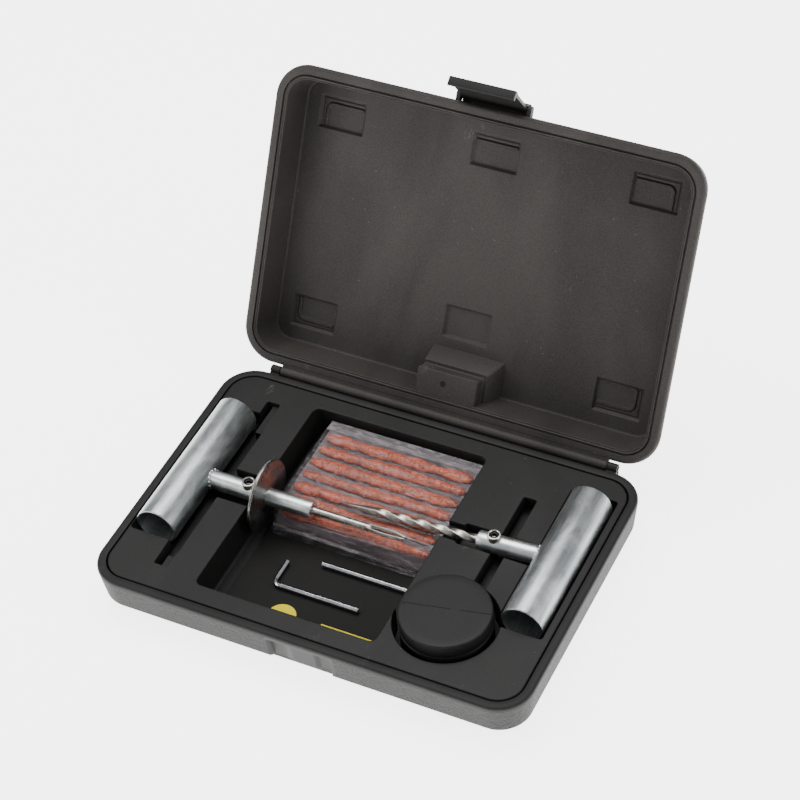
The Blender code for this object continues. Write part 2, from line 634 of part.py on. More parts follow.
def pack_top(y, drop=0.0):
    """Height of the pack's outer face at y: flat, then a quarter round down to the card."""
    top = RIM - PACK_TOP - drop
    floor = WELL_BOTTOM + CARD_THICKNESS + 2 * GAP
    reach = PACK_SHOULDER - (PACK_FRONT + drop)
    share = min(max((PACK_SHOULDER - y) / reach, 0.0), 1.0)
    return floor + (top - floor) * math.sqrt(max(1 - share * share, 0.0))


def pack_face(drop, back, steps=9):
    """The pack's outer face as (y, z) points, from the back over the shoulder to the foot."""
    foot = PACK_FRONT + drop
    turn = [math.pi / 2 * i / steps for i in range(steps + 1)]
    ys = [PACK_SHOULDER - (PACK_SHOULDER - foot) * math.sin(a) for a in turn]
    return [(back, RIM - PACK_TOP - drop)] + [(y, pack_top(y, drop)) for y in ys]


def strip_pack(rubber, film):
    """Film-wrapped stack: a core of more strips, seven outer strips and the film over them."""
    floor = WELL_BOTTOM + CARD_THICKNESS + 2 * GAP
    left = PACK_LEFT + CORE_SIDE_INSET
    right = PACK_RIGHT - CORE_SIDE_INSET
    back = PACK_BACK - CORE_BACK_INSET
    core_drop = FILM_THICKNESS + GAP + STRIP_THICKNESS + GAP
    core = pack_face(core_drop, back) + [(back, floor)]
    finish("strip_core", prism(core, left, right, "X"), rubber)
    outer = pack_face(0.0, PACK_BACK)
    inner = pack_face(FILM_THICKNESS, PACK_BACK)
    finish("strip_film", prism(outer + inner[::-1], PACK_LEFT, PACK_RIGHT, "X"), film)
    drop = FILM_THICKNESS + GAP
    for index in range(STRIP_COUNT):
        y = FIRST_STRIP - index * STRIP_PITCH
        width, thick, angle = STRIP_WIDTH, STRIP_THICKNESS, 0.0
        place = Vector((0, y, RIM - PACK_TOP - drop - STRIP_THICKNESS / 2))
        if index >= FLAT_STRIPS:
            turn = math.radians(SHOULDER_FIRST_ANGLE + SHOULDER_PITCH_ANGLE * (index - FLAT_STRIPS))
            reach = PACK_SHOULDER - PACK_FRONT - drop - STRIP_THICKNESS / 2
            height = RIM - PACK_TOP - drop - STRIP_THICKNESS / 2 - floor
            place = Vector((0, PACK_SHOULDER - reach * math.sin(turn), floor + height * math.cos(turn)))
            angle = math.atan2(height * math.sin(turn), reach * math.cos(turn))
            width -= SHOULDER_STRIP_SMALLER
            thick -= SHOULDER_STRIP_SMALLER
        strip = box((left + STRIP_INSET, -width / 2, -thick / 2), (right - STRIP_INSET, width / 2, thick / 2))
        bmesh.ops.transform(strip, matrix=Matrix.Translation(place) @ Matrix.Rotation(angle, 4, "X"),
                            verts=strip.verts)
        finish(f"plug_strip_{index + 1}", strip, rubber)


def hex_key(name, steel, corner, long_leg, short_leg, long_angle, side):
    """Hexagonal bar bent to an L, lying flat; the corner is where the two legs' axes meet."""
    level = WELL_BOTTOM + CARD_THICKNESS + 3 * GAP + KEY_RADIUS
    place = frame(f"{name}_frame", (corner[0], corner[1], level), (0, 0, long_angle))
    path = [(long_leg, 0.0)]
    for step in range(KEY_BEND_STEPS + 1):
        angle = math.radians(90 * step / KEY_BEND_STEPS)
        path.append((KEY_BEND * (1 - math.sin(angle)), side * KEY_BEND * (1 - math.cos(angle))))
    path.append((0.0, side * short_leg))
    rings = []
    for index, (x, y) in enumerate(path):
        before = Vector(path[max(index - 1, 0)])
        after = Vector(path[min(index + 1, len(path) - 1)])
        ahead = (after - before).normalized()
        across = Vector((-ahead.y, ahead.x, 0))
        ring = []
        for corner_step in range(6):
            angle = math.radians(60 * corner_step)
            out = KEY_RADIUS * math.cos(angle)
            ring.append((x + out * across.x, y + out * across.y, KEY_RADIUS * math.sin(angle)))
        rings.append(ring)
    return finish(name, loft(rings), steel, place)


def tub(plastic):
    """Round tub with a plain neck, and a shallow cap that covers the neck."""
    bottom = RIM - TUB_POCKET_DEPTH + GAP
    place = frame("tub_axis", (TUB_X, TUB_Y, bottom))
    inner = TUB_NECK_RADIUS - TUB_WALL
    shoulder = TUB_HEIGHT - TUB_NECK
    profile = [(0, 0), (0, TUB_RADIUS - TUB_EDGE), (TUB_EDGE, TUB_RADIUS), (shoulder, TUB_RADIUS),
               (shoulder, TUB_NECK_RADIUS), (TUB_HEIGHT, TUB_NECK_RADIUS), (TUB_HEIGHT, inner), (TUB_WALL, inner), (TUB_WALL, 0)]
    finish("tub_body", turned(profile, 36, "Z"), plastic, place)
    skirt = shoulder + GAP
    top = skirt + CAP_HEIGHT
    under = top - CAP_TOP
    hollow = TUB_NECK_RADIUS + GAP
    profile = [(skirt, hollow), (skirt, CAP_RADIUS), (top - CAP_EDGE, CAP_RADIUS), (top, CAP_RADIUS - CAP_EDGE),
               (top, 0),
               (under, 0), (under, hollow)]
    finish("tub_cap", turned(profile, 36, "Z"), plastic, place)


def main():
    for obj in list(bpy.data.objects):
        bpy.data.objects.remove(obj)
    case_plastic = material("case_plastic", (0.038, 0.037, 0.036), 0.55)
    lid_plastic = material("lid_plastic", (0.055, 0.053, 0.051), 0.6)
    tub_plastic = material("tub_plastic", (0.030, 0.029, 0.029), 0.5)
    zinc = material("zinc_plated_steel", (0.42, 0.45, 0.45), 0.35, 1.0)
    bright = material("bright_steel", (0.55, 0.54, 0.51), 0.25, 1.0)
    chrome = material("chromed_key", (0.7, 0.7, 0.72), 0.15, 1.0)
    black = material("black_screw", (0.02, 0.02, 0.02), 0.4, 1.0)
    rubber = material("plug_rubber", (0.42, 0.10, 0.035), 0.6)
    film = material("clear_film", (0.6, 0.55, 0.58), 0.1)
    paper = material("card_print", (0.025, 0.024, 0.022), 0.5)

    case_base(case_plastic)
    case_tray(case_plastic)
    hinge_pin(chrome)
    lid_axis = frame("lid_hinge_axis", (0, HINGE_Y, HINGE_Z), (-OPEN_ANGLE, 0, 0))
    case_lid(lid_plastic, lid_axis)
    latch_pieces(lid_plastic, chrome, lid_axis)
    insertion_tool(zinc, bright, black)
    rasp_tool(zinc, bright, black)
    instruction_card(paper)
    strip_pack(rubber, film)
    hex_key("hex_key_1", chrome, (WELL_LEFT + KEY_1_CORNER[0], KEY_1_CORNER[1]), *KEY_1_LEGS, 0.8, 1)
    hex_key("hex_key_2", chrome, (WELL_RIGHT - KEY_2_CORNER[0], KEY_2_CORNER[1]), *KEY_2_LEGS, 180.0, 1)
    tub(tub_plastic)
    bpy.context.view_layer.update()


main()
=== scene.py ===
"""Looks of the tyre plug insertion kit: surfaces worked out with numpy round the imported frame.

Lengths are millimetres until a mesh is made. Rows of a grid run along its first axis.
"""

import json
import math

import bmesh
import bpy
import numpy as np
from bpy.props import FloatProperty, FloatVectorProperty, PointerProperty
from mathutils import Matrix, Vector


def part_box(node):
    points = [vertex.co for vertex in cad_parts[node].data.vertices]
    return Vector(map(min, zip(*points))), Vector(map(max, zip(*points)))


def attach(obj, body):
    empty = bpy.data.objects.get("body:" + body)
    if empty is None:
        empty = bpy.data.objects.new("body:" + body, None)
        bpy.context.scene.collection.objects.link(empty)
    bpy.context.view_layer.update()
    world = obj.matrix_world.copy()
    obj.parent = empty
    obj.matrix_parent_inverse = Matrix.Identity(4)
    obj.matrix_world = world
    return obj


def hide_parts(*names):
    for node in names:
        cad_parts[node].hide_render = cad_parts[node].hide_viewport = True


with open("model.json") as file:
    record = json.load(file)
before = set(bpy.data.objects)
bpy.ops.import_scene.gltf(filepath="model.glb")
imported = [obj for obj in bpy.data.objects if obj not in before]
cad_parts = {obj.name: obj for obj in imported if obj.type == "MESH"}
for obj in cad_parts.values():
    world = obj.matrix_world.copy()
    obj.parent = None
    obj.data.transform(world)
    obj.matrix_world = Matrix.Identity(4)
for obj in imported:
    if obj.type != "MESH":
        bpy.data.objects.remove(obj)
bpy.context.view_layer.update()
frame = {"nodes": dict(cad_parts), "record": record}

bl_info = {
    "name": "Tyre Plug Insertion Kit",
    "version": (1, 0, 0),
    "blender": (4, 5, 0),
    "location": "3D View > Sidebar > Tyre Kit",
    "description": "Builds the visible surfaces and finishes of a tyre plug insertion kit in its case",
    "category": "Object",
}

MM = 0.001


# ---- places read from the frame -----------------------------------------------------------------------
def span(node):
    """Lowest and highest corners of a node at rest, in millimetres."""
    low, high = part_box(node)
    return np.array(low) / MM, np.array(high) / MM


def joint(name):
    """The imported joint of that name."""
    return next(j for j in frame["record"]["behaviour"]["joints"] if j["name"] == name)


BASE_LOW, BASE_HIGH = span("case_base")
TRAY_LOW, TRAY_HIGH = span("case_tray")
RIM = TRAY_HIGH[2]
HALF_X = BASE_HIGH[0]
HALF_Y = -BASE_LOW[1]
HINGE = np.array(joint("lid_hinge")["pos_m"]) / MM
OPEN_ANGLE = -math.radians(joint("lid_hinge")["range_deg"][0])
LATCH_AXIS = np.array(joint("latch_hinge")["pos_m"]) / MM
LATCH_SHUT = math.radians(joint("latch_hinge")["range_deg"][0])
CASE_CORNER = 21.0
TRAY_CORNER = 15.0
LID_HEIGHT = 24.8
LID_HOLLOW = 21.8
HINGE_OFFSET = HINGE[1] - HALF_Y
HINGE_RADIUS = 2.6
PIN_INSET = 0.5  # from a knuckle's outer face to the pin's end
GAP = 0.3  # between pieces that run on each other
HANDLE_LOW, HANDLE_HIGH = span("insertion_handle")
TUBE_RADIUS = (HANDLE_HIGH[0] - HANDLE_LOW[0]) / 2
TOOL_AXIS = (HANDLE_HIGH[2] + HANDLE_LOW[2]) / 2


# ---- numpy makers -------------------------------------------------------------------------------------
def ease(value, start=0.0, end=1.0):
    """Smooth step: 3t^2 - 2t^3 of value between start and end."""
    t = np.clip((value - start) / (end - start), 0.0, 1.0)
    return t * t * (3 - 2 * t)


def smooth_curve(points, steps=6):
    """Catmull-Rom curve through the points, each span a cubic of its four nearest points."""
    p = np.asarray(points, float)
    p = np.vstack([2 * p[0] - p[1], p, 2 * p[-1] - p[-2]])
    t = np.linspace(0, 1, steps, endpoint=False)[:, None]
    a, b, c, d = (p[i : len(p) - 3 + i, None] for i in range(4))
    curve = 0.5 * (2 * b + (c - a) * t + (2 * a - 5 * b + 4 * c - d) * t**2 + (3 * b - a - 3 * c + d) * t**3)
    return np.vstack([curve.reshape(-1, p.shape[1]), p[-2]])


def wobble(x, y, seed, scale, octaves=4):
    """Sum of sine waves of doubling frequency and halving height, with seeded directions and phases."""
    draw = np.random.default_rng(seed)
    total = np.zeros(np.broadcast(x, y).shape)
    for octave in range(octaves):
        for _ in range(3):
            turn, phase = draw.uniform(0, 2 * math.pi, 2)
            rate = 2**octave / scale * draw.uniform(0.7, 1.3)
            total += np.sin((x * math.cos(turn) + y * math.sin(turn)) * rate + phase) / 2**octave
    return total / 3


def round_rectangle(half_x, half_y, radius, arc=14, side=1):
    """Anticlockwise outline of a rectangle with round corners: (points, outward normals)."""
    turn = np.linspace(0, math.pi / 2, arc + 1)
    signs = np.array([(1, 1), (-1, 1), (-1, -1), (1, -1)], float)
    angles = turn[None, :] + np.arange(4)[:, None] * math.pi / 2
    normals = np.stack([np.cos(angles), np.sin(angles)], -1)
    centres = signs * (half_x - radius, half_y - radius)
    points = centres[:, None] + radius * normals
    if side > 1:
        share = np.linspace(0, 1, side + 1)[1:-1, None]
        after = np.roll(points, -1, axis=0)[:, :1]
        between = points[:, -1:] + share[None] * (after - points[:, -1:])
        points = np.concatenate([points, between], 1)
        normals = np.concatenate([normals, np.repeat(normals[:, arc : arc + 1], side - 1, 1)], 1)
    return points.reshape(-1, 2), normals.reshape(-1, 2)


def carried(profile, outline, centre=(0.0, 0.0)):
    """Profile of (inset, z) carried round an outline: point minus inset times the outward normal."""
    points, normals = outline
    profile = np.asarray(profile, float)
    flat = points[None] - profile[:, None, :1] * normals[None] + np.asarray(centre)
    return np.dstack([flat, np.repeat(profile[:, 1:2], len(points), 1)])


def stacked(levels, centre=(0.0, 0.0), arc=6):
    """Outlines of (half_x, half_y, radius, z), one above the other."""
    rings = []
    for half_x, half_y, radius, z in levels:
        points = round_rectangle(half_x, half_y, radius, arc)[0] + np.asarray(centre)
        rings.append(np.column_stack([points, np.full(len(points), z)]))
    return np.array(rings)


def tapered(levels, arc=6):
    """Outlines of (left, right, front, back, radius, z), one above the other."""
    rings = []
    for left, right, front, back, radius, z in levels:
        points = round_rectangle((right - left) / 2, (back - front) / 2, radius, arc)[0]
        points = points + ((left + right) / 2, (front + back) / 2)
        rings.append(np.column_stack([points, np.full(len(points), z)]))
    return np.array(rings)


def quarter(steps=5):
    """Angles of a quarter turn."""
    return np.linspace(0, math.pi / 2, steps)


def turned(profile, sides=64):
    """Profile of (along, radius) turned round the X axis: (t, r cos a, r sin a)."""
    profile = np.asarray(profile, float)
    angle = np.linspace(0, 2 * math.pi, sides, endpoint=False)
    t = np.repeat(profile[:, :1], sides, 1)
    return np.dstack([t, profile[:, 1:] * np.cos(angle), profile[:, 1:] * np.sin(angle)])


def swept(path, radius_a, radius_b, sides=16, up=(0.0, 0.0, 1.0)):
    """Ellipse carried along a path: centre plus a cos of the side direction and b sin of the upper one."""
    path = np.asarray(path, float)
    ahead = np.gradient(path, axis=0)
    ahead /= np.linalg.norm(ahead, axis=1, keepdims=True)
    across = np.cross(ahead, up)
    across /= np.linalg.norm(across, axis=1, keepdims=True)
    above = np.cross(across, ahead)
    angle = np.linspace(0, 2 * math.pi, sides, endpoint=False)
    a = np.broadcast_to(np.asarray(radius_a, float).reshape(-1, 1), (len(path), 1))
    b = np.broadcast_to(np.asarray(radius_b, float).reshape(-1, 1), (len(path), 1))
    out = (a * np.cos(angle))[..., None] * across[:, None] + (b * np.sin(angle))[..., None] * above[:, None]
    return path[:, None] + out


def grid_faces(rows, columns, wrap_rows=False, wrap_columns=True):
    """Quads between neighbouring points of a grid."""
    r = np.arange(rows if wrap_rows else rows - 1)
    c = np.arange(columns if wrap_columns else columns - 1)
    r, c = np.meshgrid(r, c, indexing="ij")
    r_next, c_next = (r + 1) % rows, (c + 1) % columns
    quads = np.stack([r, r_next, r_next, r], -1) * columns + np.stack([c, c, c_next, c_next], -1)
    return quads.reshape(-1, 4)


class Shell:
    """A closed surface: points, faces and a mask value for each point."""

    def __init__(self, grid, wrap_rows=False, wrap_columns=True, capped=True, mask=0.0):
        rows, columns = grid.shape[:2]
        self.points = grid.reshape(-1, 3)
        self.faces = grid_faces(rows, columns, wrap_rows, wrap_columns).tolist()
        if capped and wrap_columns and not wrap_rows:
            self.faces.append(list(range(columns)))
            self.faces.append(list(range((rows - 1) * columns, rows * columns)))
        self.mask = np.broadcast_to(np.asarray(mask, float), (rows, columns)).reshape(-1).copy()

    def placed(self, matrix):
        """The same shell moved by a 4 by 4 matrix in millimetres."""
        matrix = np.array(matrix)
        self.points = self.points @ matrix[:3, :3].T + matrix[:3, 3]
        return self


def slab(top, bottom, mask=0.0):
    """A closed block between a height field and a flat or curved underside on the same grid."""
    rows, columns = top.shape[:2]
    shell = Shell(top, capped=False, wrap_columns=False, mask=mask)
    upper = grid_faces(rows, columns, wrap_columns=False)
    lower = upper[:, ::-1] + rows * columns
    index = np.arange(rows * columns).reshape(rows, columns)
    edge = np.concatenate([index[0], index[1:, -1], index[-1, -2::-1], index[-2:0:-1, 0]])
    after = np.roll(edge, -1)
    sides = np.stack([edge, after, after + rows * columns, edge + rows * columns], -1)
    shell.points = np.vstack([top.reshape(-1, 3), bottom.reshape(-1, 3)])
    shell.faces = np.vstack([upper, lower, sides]).tolist()
    shell.mask = np.concatenate([shell.mask, shell.mask])
    return shell


def make_mesh(name, shells):
    """One mesh in metres from several shells, faces outward, with the mask as a point attribute."""
    points, faces, mask, start = [], [], [], 0
    for shell in shells:
        points.append(shell.points)
        faces.extend([index + start for index in face] for face in shell.faces)
        mask.append(shell.mask)
        start += len(shell.points)
    mesh = bpy.data.meshes.new(name)
    mesh.from_pydata((np.vstack(points) * MM).tolist(), [], faces)
    attribute = mesh.attributes.new("mask", "FLOAT", "POINT")
    attribute.data.foreach_set("value", np.concatenate(mask))
    work = bmesh.new()
    work.from_mesh(mesh)
    bmesh.ops.remove_doubles(work, verts=work.verts, dist=1e-7)
    bmesh.ops.recalc_face_normals(work, faces=work.faces)
    work.to_mesh(mesh)
    work.free()
    return mesh


def piece(name, shells, material, body, replaces=(), sharp=32.0, cutters=(), weighted=False):
    """A finished object that rides on a body; cutters are shells taken away by an exact Boolean."""
    obj = bpy.data.objects.new(name, make_mesh(name, shells))
    bpy.context.scene.collection.objects.link(obj)
    helpers = []
    for index, cutter in enumerate(cutters):
        helper = bpy.data.objects.new(f"{name}_cut_{index}", make_mesh(f"{name}_cut_{index}", cutter))
        bpy.context.scene.collection.objects.link(helper)
        modifier = obj.modifiers.new(helper.name, "BOOLEAN")
        modifier.operation = "DIFFERENCE"
        modifier.solver = "EXACT"
        modifier.object = helper
        helpers.append(helper)
    if helpers:
        graph = bpy.context.evaluated_depsgraph_get()
        obj.data = bpy.data.meshes.new_from_object(obj.evaluated_get(graph))
        obj.modifiers.clear()
        for helper in helpers:
            bpy.data.objects.remove(helper)
    obj.data.materials.clear()
    obj.data.materials.append(material)
    obj.data.shade_smooth()
    obj.data.set_sharp_from_angle(angle=math.radians(sharp))
    if weighted:
        modifier = obj.modifiers.new("flat faces first", "WEIGHTED_NORMAL")
        modifier.keep_sharp = True
        modifier.mode = "FACE_AREA"
    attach(obj, body)
    if replaces:
        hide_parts(*replaces)
    return obj


# ---- shader maths -------------------------------------------------------------------------------------
class Term:
    """A socket that carries a number; Python's operators on it add Math nodes."""

    def __init__(self, graph, socket):
        self.graph = graph
        self.socket = socket

    def __add__(self, other):
        return self.graph.math("ADD", self, other)

    def __radd__(self, other):
        return self.graph.math("ADD", other, self)

    def __sub__(self, other):
        return self.graph.math("SUBTRACT", self, other)

    def __rsub__(self, other):
        return self.graph.math("SUBTRACT", other, self)

    def __mul__(self, other):
        return self.graph.math("MULTIPLY", self, other)

    def __rmul__(self, other):
        return self.graph.math("MULTIPLY", other, self)

    def __truediv__(self, other):
        return self.graph.math("DIVIDE", self, other)

    def __pow__(self, other):
        return self.graph.math("POWER", self, other)

    def step(self, start, end):
        """Smooth step of this value between start and end."""
        settings = {"interpolation_type": "SMOOTHSTEP"}
        inputs = {"Value": self, "From Min": start, "From Max": end}
        return Term(self.graph, self.graph.node("ShaderNodeMapRange", settings, inputs).outputs["Result"])


class Graph:
    """A material's nodes round one Principled shader."""

    def __init__(self, name, roughness, metallic=0.0, **constants):
        self.material = bpy.data.materials.new(name)
        self.material.use_nodes = True
        self.tree = self.material.node_tree
        self.shader = self.tree.nodes["Principled BSDF"]
        self.shader.inputs["Roughness"].default_value = roughness
        self.shader.inputs["Metallic"].default_value = metallic
        for socket, value in constants.items():
            self.shader.inputs[socket.replace("_", " ")].default_value = value
        self.place = self.node("ShaderNodeTexCoord").outputs["Object"]

    def node(self, kind, settings=None, inputs=None):
        """Adds a node: settings first, then the values or links of its sockets."""
        node = self.tree.nodes.new(kind)
        for key, value in (settings or {}).items():
            setattr(node, key, value)
        for key, value in (inputs or {}).items():
            value = value.socket if isinstance(value, Term) else value
            if isinstance(value, bpy.types.NodeSocket):
                self.tree.links.new(value, node.inputs[key])
            else:
                node.inputs[key].default_value = value
        return node

    def math(self, operation, first, second=0.0):
        node = self.node("ShaderNodeMath", {"operation": operation}, {0: first, 1: second})
        return Term(self, node.outputs[0])

    def stretched(self, scale, turn=(0.0, 0.0, 0.0), shift=(0.0, 0.0, 0.0)):
        """Object coordinates through a Mapping node."""
        inputs = {"Vector": self.place, "Location": shift, "Rotation": turn, "Scale": scale}
        return self.node("ShaderNodeMapping", None, inputs).outputs["Vector"]

    def noise(self, scale, detail=3.0, vector=None, rough=0.5, warp=0.0):
        """Noise value between about 0.25 and 0.75; scale counts features in a metre."""
        inputs = {"Vector": vector or self.place, "Scale": scale, "Detail": detail, "Roughness": rough,
                  "Distortion": warp}
        return Term(self, self.node("ShaderNodeTexNoise", None, inputs).outputs["Fac"])

    def cells(self, scale, feature="F1", vector=None, output="Distance"):
        """Voronoi cells."""
        inputs = {"Vector": vector or self.place, "Scale": scale}
        return Term(self, self.node("ShaderNodeTexVoronoi", {"feature": feature}, inputs).outputs[output])

    def attribute(self, name="mask"):
        """The mesh's own mask value."""
        return Term(self, self.node("ShaderNodeAttribute", {"attribute_name": name}).outputs["Fac"])

    def axis(self, name):
        """One object coordinate in metres."""
        return Term(self, self.node("ShaderNodeSeparateXYZ", None, {0: self.place}).outputs[name])

    def mix(self, factor, first, second):
        """Colour mix."""
        inputs = {0: factor, 6: first, 7: second}
        return self.node("ShaderNodeMix", {"data_type": "RGBA"}, inputs).outputs[2]

    def colour(self, value):
        self.set("Base Color", value)

    def set(self, socket, value):
        """Links or sets a socket of the shader."""
        value = value.socket if isinstance(value, Term) else value
        if isinstance(value, bpy.types.NodeSocket):
            self.tree.links.new(value, self.shader.inputs[socket])
        else:
            self.shader.inputs[socket].default_value = value

    def bump(self, height, distance, strength=1.0):
        """Bump of the height, with the relief's depth in metres."""
        inputs = {"Height": height, "Distance": distance, "Strength": strength}
        self.set("Normal", self.node("ShaderNodeBump", None, inputs).outputs["Normal"])


def shade(colour, factor):
    """The colour made lighter or darker, with full alpha."""
    return (*(min(channel * factor, 1.0) for channel in colour[:3]), 1.0)


def moulded_plastic(name, colour, roughness=0.5, scuffs=0.5, grained=False):
    """Matt moulded plastic: fine grain, soft mottling, dust specks and rubbed patches; coarse leather
    grain where the mesh's mask is 1."""
    graph = Graph(name, roughness, Specular_IOR_Level=0.22)
    fine = graph.noise(1250, 3, None, 0.7)
    soft = graph.noise(22, 3, graph.stretched((1.0, 0.4, 0.4)), 0.5, 0.6)
    speck = (1 - graph.cells(230).step(0.035, 0.07)) * graph.noise(38, 2).step(0.52, 0.6)
    rubbed = graph.noise(30, 4, graph.stretched((1.0, 0.55, 0.55)), 0.7).step(0.63, 0.78)
    hair = graph.noise(620, 3, graph.stretched((1.0, 0.25, 0.25), (0.4, 0.2, 0.7)), 0.7, 2.0).step(0.52, 0.62)
    pale = (speck * 0.5 + rubbed * hair * 0.55) * scuffs
    blotches = soft.step(0.3, 0.7) * 0.45 + fine.step(0.3, 0.7) * 0.55
    mottled = graph.mix(blotches, shade(colour, 0.6), shade(colour, 1.42))
    body = graph.mix(pale, mottled, (0.30, 0.29, 0.27, 1.0))
    relief = fine * 0.2
    if grained:
        mask = graph.attribute()
        pebble = graph.cells(640, "SMOOTH_F1", graph.stretched((1.0, 1.0, 0.8)))
        crease = graph.noise(720, 3, None, 0.6, 1.2)
        leather = (pebble * 0.9 + crease * 0.9).step(0.35, 1.0)
        pits = (1 - leather) * mask
        body = graph.mix(mask * 0.75, body, graph.mix(leather, shade(colour, 0.45), shade(colour, 1.5)))
        relief = relief * (1 - mask) + (1 - pits) * 1.3 * mask
        graph.set("Roughness", roughness + mask * 0.08 + fine * 0.06)
    else:
        graph.set("Roughness", roughness - 0.05 + fine * 0.12 + pale * 0.2)
    graph.colour(body)
    graph.bump(relief, 0.00022)
    return graph.material


def plated_steel(name, dark, light, roughness, along=(1.0, 1.0, 1.0), depth=0.00002):
    """Zinc or nickel plate: cloudy bloom, drawn streaks along the bar and small pale spots."""
    graph = Graph(name, roughness, 1.0)
    cloud = graph.noise(95, 4, graph.stretched((1.0, 0.45, 1.0)), 0.62, 0.8)
    streak = graph.noise(520, 3, graph.stretched(along), 0.6)
    spangle = graph.noise(900, 2)
    blend = (cloud * 1.1 + streak * 0.55 + spangle * 0.25 - 0.5).step(0.1, 0.85)
    graph.colour(graph.mix(blend, (*dark, 1.0), (*light, 1.0)))
    graph.set("Roughness", roughness - 0.08 + cloud * 0.2 + streak * 0.06)
    graph.bump(streak + spangle * 0.35, depth)
    return graph.material


# ---- settings -----------------------------------------------------------------------------------------
def colour_property(name, description, default):
    return FloatVectorProperty(name=name, description=description, default=default, size=3, min=0, max=1,
                               subtype="COLOR")


def length_property(name, description, default):
    return FloatProperty(name=name, description=description, default=default * MM, min=0, unit="LENGTH",
                         subtype="DISTANCE", precision=5)


class TYREKIT_PG_case(bpy.types.PropertyGroup):
    """Sizes and colours of the moulded case."""

    base_colour: colour_property("Base colour", "Plastic of the base and tray", (0.0150, 0.0142, 0.0135))
    lid_colour: colour_property("Lid colour", "Plastic of the lid's inside", (0.0390, 0.0350, 0.0322))
    edge: length_property("Pocket edge", "Rounding of the tray's pocket edges", 0.7)
    recess_depth: length_property("Recess depth", "Depth of the six shallow recesses in the lid", 1.9)


class TYREKIT_PG_tools(bpy.types.PropertyGroup):
    """Colours of the metal tools."""

    zinc_dark: colour_property("Zinc, dark", "Darkest zinc plate", (0.27, 0.295, 0.30))
    zinc_light: colour_property("Zinc, light", "Lightest zinc plate", (0.60, 0.625, 0.62))
    nickel_dark: colour_property("Nickel, dark", "Darkest nickel plate", (0.30, 0.285, 0.25))
    nickel_light: colour_property("Nickel, light", "Lightest nickel plate", (0.72, 0.70, 0.64))


class TYREKIT_PG_strips(bpy.types.PropertyGroup):
    """Sizes and colours of the plug strips and their film."""

    rubber: colour_property("Rubber", "Tacky plug rubber", (0.52, 0.085, 0.022))
    film: colour_property("Film", "Cloudy clear film", (0.72, 0.66, 0.69))
    ragged: length_property("Ragged edge", "How far a strip's edge wanders", 1.1)


# ---- case base ----------------------------------------------------------------------------------------
RIM_BAND = 5.4
FOOT_INSET = 10.0
FOOT_INNER = 11.0
WALL_INSET = 2.5
BASE_FLOOR = 1.6
KNUCKLE = 6.2
PIN_HOLE = 1.4
RECESS_HALF = 21.0


def base_shell():
    """Base wall: a profile carried round the case's outline, pushed in over the latch recess.

    The push is the recess depth times a smooth step of the distance from each of its four edges."""
    low = smooth_curve([(FOOT_INSET, 0.0), (FOOT_INSET - 1.6, 0.25), (3.9, 4.0), (2.7, 5.3)], 4)
    wall_z = np.linspace(5.8, RIM - 3.2, 44)
    wall = np.column_stack([WALL_INSET * (1 - (wall_z - 5.6) / (RIM - 8.0)).clip(0, 1), wall_z])
    rim = smooth_curve([(0.0, RIM - 2.6), (0.06, RIM - 1.6), (0.55, RIM - 0.55), (1.6, RIM - 0.06), (2.7, RIM)], 5)
    inner = [(RIM_BAND - 0.35, RIM), (RIM_BAND - 0.1, RIM - 0.1), (RIM_BAND, RIM - 0.4), (RIM_BAND, 5.6),
             (FOOT_INNER, BASE_FLOOR)]
    profile = np.vstack([low, wall, rim, inner])
    outline = round_rectangle(HALF_X, HALF_Y, CASE_CORNER, 18, 260)
    grid = carried(profile, outline)
    points, normals = outline
    front = np.broadcast_to((normals[:, 1] < -0.999)[None], grid.shape[:2])
    outer = np.arange(len(profile))[:, None] < len(low) + len(wall) + 3
    x, z = grid[..., 0], grid[..., 2]
    across = np.minimum(x + 17.6, RECESS_HALF - 0.6 - x)
    upright = np.minimum(z - 2.2, RIM - 4.6 - z)
    push = ease(across, 0.0, 0.7) * ease(upright, 0.0, 1.0)
    slope = ease(x, -9.5, -3.0) * 1.3
    step = ease(x, 11.0, 11.8) * 1.4
    grid[..., 1] += np.where(front & outer, push * (2.9 - slope + step), 0.0)
    plain = ease(np.abs(x - 2.0), 19.5, 22.0)
    band = ease(z, 4.6, 5.4) * (1 - ease(z, RIM - 3.3, RIM - 2.7))
    mask = np.where(outer, band * np.where(front, plain, 1.0), 0.0)
    return Shell(grid, mask=mask)


def barrel_grid(start, end):
    """Hinge barrel along X with a bore and eased ends."""
    eased = HINGE_RADIUS - 0.3
    profile = [(start, PIN_HOLE), (start, eased), (start + 0.3, HINGE_RADIUS), (end - 0.3, HINGE_RADIUS),
               (end, eased), (end, PIN_HOLE)]
    return turned(profile, 40)


def barrel_ends():
    """Outer ends of the hinge, from the pin."""
    pin_low, pin_high = span("hinge_pin")
    return pin_low[0] - PIN_INSET, pin_high[0] + PIN_INSET


def knuckle_shells(start, end):
    """Turned barrel and its web to the back wall."""
    place = Matrix.Translation((0, HINGE[1], HINGE[2]))
    barrel = Shell(barrel_grid(start, end), wrap_rows=True, capped=False).placed(place)
    middle = ((start + end) / 2, HALF_Y + 0.6)
    half = (end - start) / 2
    web = stacked([(half, 1.9, 0.3, RIM - 2.6), (half, 1.9, 0.3, RIM - 0.4)], middle)
    return [barrel, Shell(web)]


